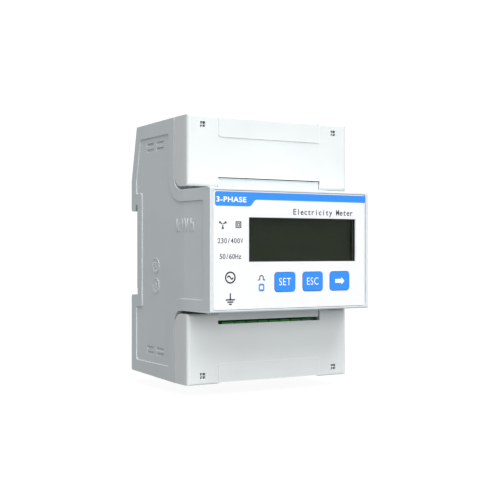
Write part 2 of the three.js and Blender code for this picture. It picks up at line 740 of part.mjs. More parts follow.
/** The cover's outline from above, with the upright edges of its face rounded. */
function coverPlan() {
  const face = HALF_W - (NARROWING * (SHOULDER - BEND)) / (FRONT - BEND);
  const plan = outline([
    [-face, -SHOULDER, COVER_SIDE_RADIUS],
    [face, -SHOULDER, COVER_SIDE_RADIUS],
    [HALF_W, -BEND],
    [HALF_W, 0],
    [-HALF_W, 0],
    [-HALF_W, -BEND],
  ]);
  return alongZ(plan, 0, HALF_H + 1);
}

/** The two knuckles that the stub pins turn in, without their bores. */
function knuckles() {
  return [-1, 1].flatMap((side) => {
    const x0 = side > 0 ? NOTCH_HALF : -NOTCH_HALF - KNUCKLE_LENGTH;
    const round = barX(KNUCKLE_RADIUS, x0, x0 + KNUCKLE_LENGTH, -HINGE_DEPTH, HINGE_Z);
    const foot = box(
      x0, x0 + KNUCKLE_LENGTH, -SHOULDER + 0.5, -HINGE_DEPTH, HINGE_Z - 1.2, HINGE_Z + KNUCKLE_RADIUS,
    );
    return [round, foot];
  });
}

/** A terminal cover, made for the top end; the bottom end's is the same piece turned over. */
function cover(name, notchHeight) {
  const inside = alongX(
    outline(rectangle(-SHOULDER + COVER_FACE, -SEAM + 1, HALF_HOOD - 1, HALF_H - WALL)), -INNER_W, INNER_W,
  );
  const notch = box(
    -NOTCH_HALF, NOTCH_HALF, -SHOULDER - 1, -SEAM, HALF_HOOD, HALF_HOOD + notchHeight,
  );
  const sweepRoom = barX(SWEEP_RADIUS, -NOTCH_HALF, NOTCH_HALF, -HINGE_DEPTH, HINGE_Z, 36);
  const shortened = box(-CABLE_HALF, CABLE_HALF, -SHOULDER - 1, -SEAM, HALF_H - CABLE_LIP, HALF_H + 1);
  const cable = box(
    -CABLE_HALF, CABLE_HALF, -SHOULDER + COVER_FACE, -SEAM, HALF_H - WALL - 0.5, HALF_H + 1,
  );
  const sealHoles = [-1, 1].map((side) => {
    const x = side * (HALF_W - SEAL_FROM_SIDE);
    const z = HALF_H - SEAL_FROM_END;
    const half = SEAL_HOLE / 2;
    return box(x - half, x + half, -SHOULDER - 1, -SHOULDER + COVER_FACE + 0.1, z - half, z + half);
  });
  const reach = TONGUE_HALF + PIN_LENGTH + GAP;
  const bores = barX(PIN_RADIUS + RUNNING, -reach, reach, -HINGE_DEPTH, HINGE_Z);
  const shell = cut(alongX(coverOutline(), -HALF_W, HALF_W).intersect(coverPlan()), inside);
  const opened = cut(shell, notch, sweepRoom, shortened, cable, ...sealHoles);
  return piece(
    name,
    cut(join(opened, ...knuckles()), bores, narrowing(-1), narrowing(1)),
    plastic(COVER_GREY, 0.5),
  );
}

/** Places and sizes that a terminal's hole, clamp and screw share. */
const TERMINAL = {
  wellFloor: BLOCK_FRONT - 6.5,
  clampFront: BLOCK_FRONT - 8,
  clampBack: BLOCK_FRONT - 14,
  clampHalf: 1.9,
  clampLength: 5,
  screwZ: HALF_HOOD + BLOCK_FROM_HOOD + SCREW_FROM_EDGE,
};

/** The x of a pole's centre in its block. */
function poleX(offset, poles, pitch, index) {
  return offset + (index - (poles - 1) / 2) * pitch;
}

/** A terminal block for the top end's frame, with a well, a clamp room and a wire hole per pole. */
function terminalBlock(name, poles, pitch, offset, color) {
  const half = blockHalfWidth(poles, pitch);
  const z0 = HALF_HOOD + BLOCK_FROM_HOOD;
  const z1 = z0 + BLOCK_LENGTH;
  const back = MAIN_BOARD_FRONT + GAP;
  const roomHalf = TERMINAL.clampHalf + GAP;
  const wireFront = WIRE_BEHIND_CLAMP - TERMINAL.clampFront;
  const body = box(offset - half, offset + half, -BLOCK_FRONT, -back, z0, z1);
  const rooms = Array.from({ length: poles }, (_, i) => {
    const x = poleX(offset, poles, pitch, i);
    const roomZ = TERMINAL.clampLength / 2 + GAP;
    return join(
      barY(WELL_RADIUS, -BLOCK_FRONT - 1, -TERMINAL.clampFront, x, TERMINAL.screwZ, 16),
      box(
        x - roomHalf, x + roomHalf, -TERMINAL.clampFront - GAP, -TERMINAL.clampBack + GAP,
        TERMINAL.screwZ - roomZ, TERMINAL.screwZ + roomZ,
      ),
      box(
        x - WIRE_SIZE / 2, x + WIRE_SIZE / 2, wireFront, wireFront + WIRE_SIZE, TERMINAL.screwZ, z1 + 1,
      ),
    );
  });
  const notches = Array.from({ length: poles - 1 }, (_, i) => {
    const x = poleX(offset, poles, pitch, i + 0.5);
    return box(x - 0.3, x + 0.3, -BLOCK_FRONT - 1, -BLOCK_FRONT + 1.2, z0 - 1, z0 + 1.2);
  });
  return piece(name, cut(body, ...rooms, ...notches), plastic(color, 0.45));
}

/** A clamp cage about the origin, which is the middle of its front face, open along Z. */
function clamp(name) {
  const depth = TERMINAL.clampFront - TERMINAL.clampBack;
  const half = TERMINAL.clampHalf;
  const long = TERMINAL.clampLength / 2;
  const cage = box(-half, half, 0, depth, -long, long);
  const way = box(-half + 0.5, half - 0.5, 0.8, depth - 0.8, -long - 1, long + 1);
  const hole = barY(1 + SLIDING, -1, 1, 0, 0, 12);
  return piece(name, cut(cage, way, hole), metal(0xc7b27a));
}

/** Cover, terminal block, screws and clamps of one end, in the top end's frame. */
function terminalEnd(end, poles, pitch, color) {
  const group = new THREE.Group();
  const label = end > 0 ? "top" : "bottom";
  const offset = end * BLOCK_OFFSET;
  group.add(cover(`${label}_cover`, end > 0 ? NOTCH_HEIGHT_TOP : NOTCH_HEIGHT_BOTTOM));
  group.add(terminalBlock(`${label}_terminal_block`, poles, pitch, offset, color));
  for (let i = 0; i < poles; i += 1) {
    const x = poleX(offset, poles, pitch, i);
    const terminalScrew = screw(`${label}_screw_${i + 1}`, TERMINAL_SCREW, metal(0xb4b6b2));
    terminalScrew.rotation.z = Math.PI;
    terminalScrew.position.set(x, -TERMINAL.wellFloor - 0.8, TERMINAL.screwZ);
    const cage = clamp(`${label}_clamp_${i + 1}`);
    cage.position.set(x, -TERMINAL.clampFront, TERMINAL.screwZ);
    group.add(terminalScrew, cage);
  }
  group.rotation.y = end > 0 ? 0 : Math.PI;
  return group;
}

// ------------------------------------------------------------------ hood front

function frontLabel() {
  const halfW = HALF_W - NARROWING - LABEL_SIDE_RIM;
  const halfH = HALF_HOOD - LABEL_RIM;
  const front = FRONT - LABEL_SET;
  const sheet = alongY(outline(rectangle(-halfW, halfW, -halfH, halfH, LABEL_RADIUS)), front, LABEL_BACK);
  const view = box(WINDOW.x0, WINDOW.x1, -front - 1, -LABEL_BACK + 1, WINDOW.z0, WINDOW.z1);
  const keys = KEY_X.map((x) => alongY(keyOutline(x, SLIDING), front + 1, LABEL_BACK - 1));
  const light = lightBar(SLIDING, front + 1, LABEL_BACK - 1);
  return piece("front_label", cut(sheet, view, ...keys, light), plastic(LABEL_WHITE, 0.35));
}

function displayWindow() {
  const smokedClear = finish(0x2a3026, 0.1, 0);
  smokedClear.transparent = true;
  smokedClear.opacity = 0.5;
  const front = WALL_BACK + LENS_LEDGE + GAP + LENS_THICK;
  return piece(
    "display_window",
    box(
      WINDOW.x0 - LENS_MARGIN, WINDOW.x1 + LENS_MARGIN, -front, -front + LENS_THICK,
      WINDOW.z0 - LENS_MARGIN, WINDOW.z1 + LENS_MARGIN,
    ),
    smokedClear,
  );
}

/** The display cell, and behind it the carrier that stands on the board. */
function displayStack() {
  const x0 = WINDOW.x0 - CELL_MARGIN;
  const x1 = WINDOW.x1 + CELL_MARGIN;
  const z0 = WINDOW.z0 - CELL_FOOT;
  const z1 = WINDOW.z1 + CELL_FOOT;
  const cellFront = WALL_BACK - GAP;
  const carrierFront = cellFront - CELL_THICK - GAP;
  return [
    piece("display_cell", box(x0, x1, -cellFront, -cellFront + CELL_THICK, z0, z1), plastic(0x2a3026, 0.15)),
    piece("display_carrier", box(x0, x1, -carrierFront, -BOARD_FRONT - GAP, z0, z1), plastic(0xe8e8e4)),
  ];
}

/** A key with its retaining flange and stem. */
function key(name, x) {
  const flangeFront = WALL_BACK - GAP;
  const flangeBack = flangeFront - KEY_FLANGE;
  const cap = alongY(keyOutline(x, 0), FRONT, flangeFront - 0.3);
  const flange = box(
    x - KEY_WIDTH / 2 - KEY_FLANGE, x + KEY_WIDTH / 2 + KEY_FLANGE, -flangeFront, -flangeBack,
    KEY_Z - KEY_HEIGHT / 2 - KEY_FLANGE, KEY_Z + KEY_HEIGHT / 2 + KEY_FLANGE,
  );
  return piece(`key_${name}`, join(cap, flange), plastic(KEY_BLUE, 0.4));
}

/** A push switch on the display board and its plunger, which travels with the key. */
function keySwitch(name, x) {
  const half = SWITCH_SIZE / 2;
  const back = BOARD_FRONT + GAP;
  const front = back + SWITCH_HEIGHT;
  const plungerFront = WALL_BACK - GAP - KEY_FLANGE - GAP;
  const body = cut(
    box(x - half, x + half, -front, -back, KEY_Z - half, KEY_Z + half),
    barY(PLUNGER_RADIUS + SLIDING, -front - 1, -front + 1.8, x, KEY_Z, 16),
  );
  return [
    piece(`switch_${name}`, body, plastic(BLACK)),
    piece(
      `plunger_${name}`,
      barY(PLUNGER_RADIUS, -plungerFront, -front + 1.8 - KEY_TRAVEL - GAP, x, KEY_Z, 16),
      plastic(0x2b2b2d),
    ),
  ];
}

function pulseLight() {
  const pipeBack = BOARD_FRONT + 2 * GAP + 1.2;
  return [
    piece("light_pipe", lightBar(0, FRONT - LABEL_SET, pipeBack), plastic(0xf2f6ff, 0.2)),
    piece("pulse_led", lightBar(0.2, pipeBack - GAP, BOARD_FRONT + GAP), plastic(0xf0efe4, 0.3)),
  ];
}

// ------------------------------------------------------------------ boards

function displayBoard() {
  const halfW = INNER_W - 1;
  const halfH = HALF_HOOD - WALL - 1;
  return piece(
    "display_board",
    box(-halfW, halfW, -BOARD_FRONT, -BOARD_FRONT + BOARD_THICK, -halfH, halfH),
    plastic(BOARD_GREEN),
  );
}

function mainBoard() {
  const halfH = HALF_H - WALL - MAIN_BOARD_SHORT;
  return piece(
    "main_board",
    box(-BOARD_HALF_W, BOARD_HALF_W, -MAIN_BOARD_FRONT, -MAIN_BOARD_BACK, -halfH, halfH),
    plastic(BOARD_GREEN),
  );
}

/** A block on the main board, by its centre and size, that stands so high over the board. */
function onBoard({ x, z }, width, height, back, front) {
  return box(x - width / 2, x + width / 2, -front, -back, z - height / 2, z + height / 2);
}

/** Parts that stand on the main board inside the hood. */
function boardParts() {
  const foot = MAIN_BOARD_FRONT + GAP;
  const linkFront = BOARD_FRONT - BOARD_THICK - GAP;
  const core = onBoard(CORE, CORE.width, CORE.height, foot + CORE.lift, foot + CORE.lift + CORE.depth);
  const coil = onBoard(CORE, COIL.width, COIL.height, foot, foot + COIL.depth);
  const chip = onBoard(CHIP, CHIP.size, CHIP.size, foot, foot + CHIP.thick);
  const link = onBoard(LINK, LINK.width, LINK.height, foot, linkFront);
  return [
    piece("transformer", join(core, coil), metal(0x8a8580, 0.6)),
    ...CAPACITORS.map(({ name, radius, length, x, z }) =>
      piece(name, barY(radius, -foot - length, -foot, x, z), plastic(BLACK, 0.4)),
    ),
    piece("metering_chip", chip, plastic(BLACK)),
    piece("board_link", link, plastic(BLACK)),
  ];
}

// ------------------------------------------------------------------ assembly

const group = new THREE.Group();
group.add(mainCase(), rearBase(), ...baseScrews(), railFoot(), footSpring(), sealTab());
group.add(terminalEnd(1, TOP_POLES, TOP_PITCH, 0x5b6266));
group.add(terminalEnd(-1, BOTTOM_POLES, BOTTOM_PITCH, TERMINAL_GREEN));
group.add(frontLabel(), displayWindow(), ...displayStack());
KEY_NAMES.forEach((name, i) => group.add(key(name, KEY_X[i]), ...keySwitch(name, KEY_X[i])));
group.add(...pulseLight(), displayBoard(), mainBoard(), ...boardParts());

export default group;
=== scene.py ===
"""The looks of a rail-mounted electricity meter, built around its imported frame.

All lengths in the classes below are millimetres in the frame of the part: +X to the right as seen
from the front, the front faces -Y, +Z up, and the origin on the face that seats on the rail. A depth
is counted forwards from that face, so a depth d lies at y = -d.
"""

import logging
import math
from dataclasses import dataclass, field
from enum import Enum
from typing import Callable, Sequence

import bmesh
import bpy
from mathutils import Matrix, Vector


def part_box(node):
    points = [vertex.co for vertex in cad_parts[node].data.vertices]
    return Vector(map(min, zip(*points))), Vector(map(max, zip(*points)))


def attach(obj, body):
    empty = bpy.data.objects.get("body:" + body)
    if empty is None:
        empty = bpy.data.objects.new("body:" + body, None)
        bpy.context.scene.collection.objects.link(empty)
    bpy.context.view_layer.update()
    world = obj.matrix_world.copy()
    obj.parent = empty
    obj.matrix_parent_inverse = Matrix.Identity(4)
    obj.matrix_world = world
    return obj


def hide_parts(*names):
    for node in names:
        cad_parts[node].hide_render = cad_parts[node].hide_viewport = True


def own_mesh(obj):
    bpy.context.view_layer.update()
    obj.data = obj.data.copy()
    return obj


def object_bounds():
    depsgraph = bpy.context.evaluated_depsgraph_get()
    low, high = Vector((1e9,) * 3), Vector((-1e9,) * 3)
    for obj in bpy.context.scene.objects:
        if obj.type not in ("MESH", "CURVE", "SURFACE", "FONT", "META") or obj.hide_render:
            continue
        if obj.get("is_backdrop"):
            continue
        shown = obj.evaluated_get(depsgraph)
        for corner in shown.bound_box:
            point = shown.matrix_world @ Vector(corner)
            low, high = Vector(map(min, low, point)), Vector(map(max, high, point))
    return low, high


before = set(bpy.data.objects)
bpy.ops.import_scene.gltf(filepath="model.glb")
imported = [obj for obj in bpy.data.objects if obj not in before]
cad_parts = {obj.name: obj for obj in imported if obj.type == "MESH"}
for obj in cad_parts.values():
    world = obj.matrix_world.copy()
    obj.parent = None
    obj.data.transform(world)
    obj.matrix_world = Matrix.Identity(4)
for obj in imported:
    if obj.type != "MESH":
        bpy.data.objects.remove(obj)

MM = 0.001
EDGE_ANGLE = 35.0  # edges sharper than this many degrees are rounded
PRINT_THICKNESS = 0.02  # of every layer of ink
WELD_REACH = 0.001  # between corners of a faceted solid that are one
# the lighter colour that moulded plastics get on their edges is a painted highlight
EDGE_HIGHLIGHT_REACH = 0.5  # from an edge to where the painted edge highlight ends
EDGE_HIGHLIGHT_SAMPLES = 4
FLAT_COSINE, EDGE_COSINE = 0.99, 0.80  # of a softened normal to the face's own
JOIN_REACH = 1e-5  # between corners of a drawing that are one
LETTER_SPACING = 1.08
LETTER_STEPS = 4  # straight lines in each bend of a letter
SHARPEST_BEND = 0.4  # cosine at which a stroke's corner is no longer drawn out to a point
LOG = logging.getLogger("meter")
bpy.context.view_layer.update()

Point = tuple[float, float]
Loop = list[Point]


# ---------------------------------------------------------------------- colour and node helpers


@dataclass(frozen=True)
class Tint:
    """A colour as it looks on a screen, each part from 0 to 255."""

    red: int
    green: int
    blue: int

    def linear(self) -> tuple[float, float, float, float]:
        """Turns the tint into linear light.

        Returns:
            Its three parts and an alpha of one.
        """
        parts = [part / 255 for part in (self.red, self.green, self.blue)]
        light = [p / 12.92 if p <= 0.04045 else ((p + 0.055) / 1.055) ** 2.4 for p in parts]
        return (*light, 1.0)

    def shade(self, share: float) -> "Tint":
        """Returns the tint with each part multiplied by a share."""
        return Tint(*(min(255, round(part * share)) for part in (self.red, self.green, self.blue)))


class Recipe:
    """A material being made: its node tree, its shader and short ways to add nodes."""

    def __init__(self, name: str) -> None:
        """Starts a material of the given name with one Principled shader.

        Args:
            name: Name of the material.
        """
        self.material = bpy.data.materials.new(name)
        self.material.use_nodes = True
        self.nodes = self.material.node_tree.nodes
        self.links = self.material.node_tree.links
        self.shader = self.nodes["Principled BSDF"]
        self.coordinates = self.nodes.new("ShaderNodeTexCoord").outputs["Object"]

    def value(self, socket: str, amount: float | Sequence[float]) -> None:
        """Sets a constant on the shader's own socket."""
        self.shader.inputs[socket].default_value = amount

    def feed(self, source: bpy.types.NodeSocket, socket: str) -> None:
        """Links a node's output to the shader's socket."""
        self.links.new(source, self.shader.inputs[socket])

    def stretched(self, scale: Sequence[float]) -> bpy.types.NodeSocket:
        """Adds a mapping of the object's coordinates.

        Args:
            scale: What each axis is multiplied by.

        Returns:
            The stretched coordinates.
        """
        mapping = self.nodes.new("ShaderNodeMapping")
        mapping.inputs["Scale"].default_value = scale
        self.links.new(self.coordinates, mapping.inputs["Vector"])
        return mapping.outputs["Vector"]

    def noise(
        self,
        size_mm: float,
        detail: float = 2.0,
        rough: float = 0.5,
        vector: bpy.types.NodeSocket | None = None,
    ) -> bpy.types.NodeSocket:
        """Adds a noise whose blotches are about a given size.

        Args:
            size_mm: Size of a blotch.
            detail: Number of finer layers.
            rough: Strength of the finer layers.
            vector: Coordinates to use in place of the object's own.

        Returns:
            The noise's factor output.
        """
        node = self.nodes.new("ShaderNodeTexNoise")
        node.inputs["Scale"].default_value = 1 / (size_mm * MM)
        node.inputs["Detail"].default_value = detail
        node.inputs["Roughness"].default_value = rough
        self.links.new(vector or self.coordinates, node.inputs["Vector"])
        return node.outputs["Fac"]

    def ramp(
        self, source: bpy.types.NodeSocket, stops: Sequence[tuple[float, Sequence[float]]]
    ) -> bpy.types.NodeSocket:
        """Adds a colour ramp.

        Args:
            source: What the ramp reads.
            stops: Position and colour of each stop, in order.

        Returns:
            The ramp's colour output.
        """
        node = self.nodes.new("ShaderNodeValToRGB")
        self.links.new(source, node.inputs["Fac"])
        elements = node.color_ramp.elements
        while len(elements) < len(stops):
            elements.new(0.5)
        for element, (position, colour) in zip(elements, stops):
            element.position = position
            element.color = colour
        return node.outputs["Color"]

    def between(
        self, factor: bpy.types.NodeSocket, first: Sequence[float], second: Sequence[float]
    ) -> bpy.types.NodeSocket:
        """Returns a blend of two colours by a factor."""
        return self.ramp(factor, [(0.0, first), (1.0, second)])

    def span(self, source: bpy.types.NodeSocket, low: float, high: float) -> bpy.types.NodeSocket:
        """Maps a factor to another range.

        Args:
            source: A factor from 0 to 1.
            low: What 0 becomes.
            high: What 1 becomes.

        Returns:
            The mapped factor.
        """
        node = self.nodes.new("ShaderNodeMapRange")
        self.links.new(source, node.inputs["Value"])
        node.inputs["To Min"].default_value = low
        node.inputs["To Max"].default_value = high
        return node.outputs["Result"]

    def mixed(
        self,
        factor: bpy.types.NodeSocket,
        first: bpy.types.NodeSocket | Sequence[float],
        second: bpy.types.NodeSocket | Sequence[float],
    ) -> bpy.types.NodeSocket:
        """Mixes two colours, each a socket or a constant.

        Args:
            factor: Share of the second colour.
            first: Colour where the factor is 0.
            second: Colour where the factor is 1.

        Returns:
            The mixed colour.
        """
        node = self.nodes.new("ShaderNodeMix")
        node.data_type = "RGBA"
        self.links.new(factor, node.inputs["Factor"])
        for name, given in (("A", first), ("B", second)):
            socket = [s for s in node.inputs if s.name == name and s.type == "RGBA"][0]
            if isinstance(given, bpy.types.NodeSocket):
                self.links.new(given, socket)
            else:
                socket.default_value = given
        return [s for s in node.outputs if s.type == "RGBA"][0]

    def bump(self, height: bpy.types.NodeSocket, strength: float, distance_mm: float) -> None:
        """Adds a bump and feeds it to the shader's normal.

        Args:
            height: What the bump reads.
            strength: How much of it shows.
            distance_mm: Its greatest height.
        """
        node = self.nodes.new("ShaderNodeBump")
        node.inputs["Strength"].default_value = strength
        node.inputs["Distance"].default_value = distance_mm * MM
        self.links.new(height, node.inputs["Height"])
        self.feed(node.outputs["Normal"], "Normal")

    def edges(self) -> bpy.types.NodeSocket:
        """Finds the solid's edges from how a softened normal turns away from the face.

        Returns:
            A factor that is one on edges and nothing on flat faces.
        """
        softened = self.nodes.new("ShaderNodeBevel")
        softened.samples = EDGE_HIGHLIGHT_SAMPLES
        softened.inputs["Radius"].default_value = EDGE_HIGHLIGHT_REACH * MM
        flat = self.nodes.new("ShaderNodeNewGeometry").outputs["True Normal"]
        product = self.nodes.new("ShaderNodeVectorMath")
        product.operation = "DOT_PRODUCT"
        self.links.new(softened.outputs["Normal"], product.inputs[0])
        self.links.new(flat, product.inputs[1])
        turned = self.nodes.new("ShaderNodeMapRange")
        self.links.new(product.outputs["Value"], turned.inputs["Value"])
        turned.inputs["From Min"].default_value = FLAT_COSINE
        turned.inputs["From Max"].default_value = EDGE_COSINE
        return turned.outputs["Result"]


# ---------------------------------------------------------------------- finishes


@dataclass(frozen=True)
class MouldedPlastic:
    """An injection-moulded plastic with a fine spark-eroded grain, and its edges painted lighter as a
    highlight.
    """

    name: str
    tint: Tint
    roughness: float = 0.5
    grain: float = 0.25
    relief: float = 0.12
    mottle: float = 0.03
    # share by which the edges' colour is lightened: a painted highlight
    edge_highlight_shade: float = 1.08

    def make(self) -> bpy.types.Material:
        """Makes the material.

        Returns:
            The finished material.
        """
        recipe = Recipe(self.name)
        cloud = recipe.noise(22.0, 3.0)
        body = recipe.between(
            cloud, self.tint.shade(1 - self.mottle).linear(), self.tint.shade(1 + self.mottle).linear()
        )
        # painted highlight: the colour turns lighter on edges
        painted_edge_highlight = recipe.span(recipe.edges(), 0.0, 0.5)
        recipe.feed(recipe.mixed(painted_edge_highlight, body, self.tint.shade(self.edge_highlight_shade).linear()), "Base Color")
        fine = recipe.noise(self.grain, 2.0, 0.6)
        recipe.feed(
            recipe.span(recipe.noise(6.0, 4.0), self.roughness - 0.05, self.roughness + 0.06), "Roughness"
        )
        recipe.bump(fine, self.relief, 0.02)
        recipe.value("IOR", 1.46)
        return recipe.material


@dataclass(frozen=True)
class PrintedFilm:
    """A white polycarbonate film with a very slight orange peel."""

    name: str
    tint: Tint

    def make(self) -> bpy.types.Material:
        """Makes the material.

        Returns:
            The finished material.
        """
        recipe = Recipe(self.name)
        cloud = recipe.noise(14.0, 2.0)
        recipe.feed(
            recipe.between(cloud, self.tint.shade(0.985).linear(), self.tint.linear()), "Base Color"
        )
        recipe.feed(recipe.span(recipe.noise(3.0, 3.0), 0.28, 0.38), "Roughness")
        recipe.bump(recipe.noise(1.1, 2.0), 0.05, 0.02)
        recipe.value("IOR", 1.5)
        return recipe.material


@dataclass(frozen=True)
class PrintInk:
    """A screen-printed ink, slightly uneven in density."""

    name: str
    tint: Tint
    roughness: float = 0.45

    def make(self) -> bpy.types.Material:
        """Makes the material.

        Returns:
            The finished material.
        """
        recipe = Recipe(self.name)
        dots = recipe.noise(0.35, 2.0)
        recipe.feed(
            recipe.between(dots, self.tint.shade(0.96).linear(), self.tint.shade(1.03).linear()),
            "Base Color",
        )
        recipe.feed(
            recipe.span(recipe.noise(2.0, 2.0), self.roughness - 0.04, self.roughness + 0.04), "Roughness"
        )
        recipe.bump(dots, 0.06, 0.01)
        return recipe.material


@dataclass(frozen=True)
class ClearWindow:
    """A clear, slightly smoky plastic window with polish marks."""

    name: str
    tint: Tint

    def make(self) -> bpy.types.Material:
        """Makes the material.

        Returns:
            The finished material.
        """
        recipe = Recipe(self.name)
        haze = recipe.noise(9.0, 3.0)
        recipe.feed(
            recipe.between(haze, self.tint.shade(0.96).linear(), self.tint.linear()), "Base Color"
        )
        recipe.feed(recipe.span(recipe.noise(2.5, 4.0), 0.03, 0.07), "Roughness")
        recipe.bump(recipe.noise(1.6, 2.0), 0.02, 0.01)
        recipe.value("Transmission Weight", 1.0)
        recipe.value("IOR", 1.18)
        return recipe.material


@dataclass(frozen=True)
class LiquidCrystal:
    """The dark olive face of an unpowered liquid crystal cell."""

    name: str
    tint: Tint

    def make(self) -> bpy.types.Material:
        """Makes the material.

        Returns:
            The finished material.
        """
        recipe = Recipe(self.name)
        lines = recipe.noise(0.6, 1.0, 0.4, recipe.stretched((0.08, 1.0, 1.0)))
        recipe.feed(
            recipe.between(lines, self.tint.shade(0.94).linear(), self.tint.shade(1.07).linear()),
            "Base Color",
        )
        recipe.feed(recipe.span(recipe.noise(5.0, 2.0), 0.32, 0.42), "Roughness")
        recipe.bump(lines, 0.04, 0.01)
        recipe.value("Specular IOR Level", 0.25)
        return recipe.material


@dataclass(frozen=True)
class PlatedMetal:
    """A zinc, nickel or tin plated metal with fine tool marks."""

    name: str
    tint: Tint
    roughness: float = 0.32

    def make(self) -> bpy.types.Material:
        """Makes the material.

        Returns:
            The finished material.
        """
        recipe = Recipe(self.name)
        cloud = recipe.noise(1.2, 4.0)
        recipe.feed(
            recipe.between(cloud, self.tint.shade(0.86).linear(), self.tint.shade(1.08).linear()),
            "Base Color",
        )
        marks = recipe.noise(0.25, 2.0, 0.5, recipe.stretched((1.0, 0.15, 1.0)))
        recipe.feed(recipe.span(marks, self.roughness - 0.08, self.roughness + 0.14), "Roughness")
        recipe.bump(marks, 0.10, 0.01)
        recipe.value("Metallic", 1.0)
        return recipe.material


@dataclass(frozen=True)
class BoardLaminate:
    """A circuit board under green solder mask, with the tracks showing through."""

    name: str
    mask: Tint
    track: Tint

    def make(self) -> bpy.types.Material:
        """Makes the material.

        Returns:
            The finished material.
        """
        recipe = Recipe(self.name)
        cells = recipe.nodes.new("ShaderNodeTexVoronoi")
        cells.distance = "MANHATTAN"
        cells.feature = "DISTANCE_TO_EDGE"
        cells.inputs["Scale"].default_value = 1 / (2.4 * MM)
        recipe.links.new(recipe.coordinates, cells.inputs["Vector"])
        tracks = recipe.ramp(
            cells.outputs["Distance"], [(0.05, (1, 1, 1, 1)), (0.11, (0, 0, 0, 1))]
        )
        recipe.feed(recipe.mixed(tracks, self.mask.linear(), self.track.linear()), "Base Color")
        recipe.feed(recipe.span(recipe.noise(3.0, 3.0), 0.22, 0.36), "Roughness")
        recipe.bump(tracks, 0.2, 0.03)
        return recipe.material


@dataclass(frozen=True)
class TwoToneTab:
    """A pressed tab, grey towards the rear and pale red towards the front."""

    name: str
    rear: Tint
    front: Tint
    border_depth: float

    def make(self) -> bpy.types.Material:
        """Makes the material.

        Returns:
            The finished material.
        """
        recipe = Recipe(self.name)
        split = recipe.nodes.new("ShaderNodeSeparateXYZ")
        recipe.links.new(recipe.coordinates, split.inputs["Vector"])
        side = recipe.nodes.new("ShaderNodeMath")
        side.operation = "LESS_THAN"
        recipe.links.new(split.outputs["Y"], side.inputs[0])
        side.inputs[1].default_value = -self.border_depth * MM
        recipe.feed(
            recipe.mixed(side.outputs["Value"], self.rear.linear(), self.front.linear()), "Base Color"
        )
        recipe.feed(recipe.span(recipe.noise(1.5, 3.0), 0.45, 0.6), "Roughness")
        recipe.bump(recipe.noise(0.4, 2.0), 0.1, 0.02)
        return recipe.material


class Finish(Enum):
    """Every finish on the meter."""

    # case and cover get a stronger painted edge highlight
    CASE = MouldedPlastic("case_grey", Tint(204, 210, 212), 0.48, edge_highlight_shade=1.2)
    COVER = MouldedPlastic("cover_grey", Tint(213, 217, 217), 0.46, edge_highlight_shade=1.15)
    BASE = MouldedPlastic("base_grey", Tint(206, 212, 214), 0.5)
    KEY = MouldedPlastic("key_blue", Tint(42, 134, 238), 0.42, 0.3, 0.06, 0.02)
    FOOT = MouldedPlastic("foot_black", Tint(46, 48, 51), 0.45)
    TERMINAL_GREEN = MouldedPlastic("terminal_green", Tint(54, 152, 60), 0.42, 0.3, 0.1, 0.05)
    TERMINAL_GREY = MouldedPlastic("terminal_grey", Tint(96, 103, 106), 0.45)
    BLACK = MouldedPlastic("black_moulding", Tint(34, 34, 36), 0.4)
    CARRIER = MouldedPlastic("carrier_white", Tint(236, 236, 230), 0.5)
    LIGHT = MouldedPlastic("light_guide", Tint(246, 250, 253), 0.25, 0.6, 0.03, 0.01)
    LABEL = PrintedFilm("label_film", Tint(229, 230, 233))
    INK_BLACK = PrintInk("ink_black", Tint(26, 26, 28))
    INK_GREY = PrintInk("ink_grey", Tint(56, 56, 60))
    INK_BLUE = PrintInk("ink_blue", Tint(43, 136, 244), 0.38)
    INK_LIGHT_BLUE = PrintInk("ink_light_blue", Tint(50, 132, 218), 0.4)
    INK_WHITE = PrintInk("ink_white", Tint(250, 252, 255), 0.4)
    WINDOW = ClearWindow("window_clear", Tint(226, 230, 224))
    CRYSTAL = LiquidCrystal("crystal_olive", Tint(41, 48, 35))
    SEGMENT = LiquidCrystal("crystal_segment", Tint(38, 45, 32))
    STEEL = PlatedMetal("zinc_steel", Tint(196, 198, 196))
    WIRE = PlatedMetal("spring_wire", Tint(206, 209, 214), 0.25)
    CLAMP = PlatedMetal("tinned_brass", Tint(208, 190, 140), 0.35)
    CORE = PlatedMetal("core_laminations", Tint(132, 128, 120), 0.5)
    BOARD = BoardLaminate("board_green", Tint(24, 88, 52), Tint(40, 122, 76))
    TAB = TwoToneTab("seal_tab", Tint(176, 180, 181), Tint(207, 170, 166), 19.6)


_made: dict[Finish, bpy.types.Material] = {}


def finished(finish: Finish) -> bpy.types.Material:
    """Finds a finish's material, and makes it the first time.

    Args:
        finish: The finish.

    Returns:
        Its material.
    """
    if finish not in _made:
        _made[finish] = finish.value.make()
    return _made[finish]


# ---------------------------------------------------------------------- mesh helpers


def soften(node: str, finish: Finish, width: float, segments: int = 3) -> None:
    """Rounds a CAD node's edges with modifiers and gives it its finish.

    Args:
        node: Name of the CAD node.
        finish: What it is made of.
        width: Width of the rounded edges.
        segments: Steps across an edge.
    """
    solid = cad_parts[node]
    solid.data.materials.clear()
    solid.data.materials.append(finished(finish))
    round_edges(solid, width, segments)


def round_edges(solid: bpy.types.Object, width: float, segments: int = 3) -> None:
    """Adds the modifiers that weld and round a faceted solid.

    Args:
        solid: The object.
        width: Width of the rounded edges.
        segments: Steps across an edge.
    """
    weld = solid.modifiers.new("weld", "WELD")
    weld.merge_threshold = WELD_REACH * MM
    bevel = solid.modifiers.new("edges", "BEVEL")
    bevel.width = width * MM
    bevel.segments = segments
    bevel.limit_method = "ANGLE"
    bevel.angle_limit = math.radians(EDGE_ANGLE)
    bevel.use_clamp_overlap = True
    bevel.miter_outer = "MITER_ARC"
    bevel.harden_normals = True


def new_object(name: str, mesh: bpy.types.ID) -> bpy.types.Object:
    """Makes an object and links it to the scene.

    Args:
        name: Its name.
        mesh: Its mesh, or other data.

    Returns:
        The new object.
    """
    made = bpy.data.objects.new(name, mesh)
    bpy.context.scene.collection.objects.link(made)
    return made


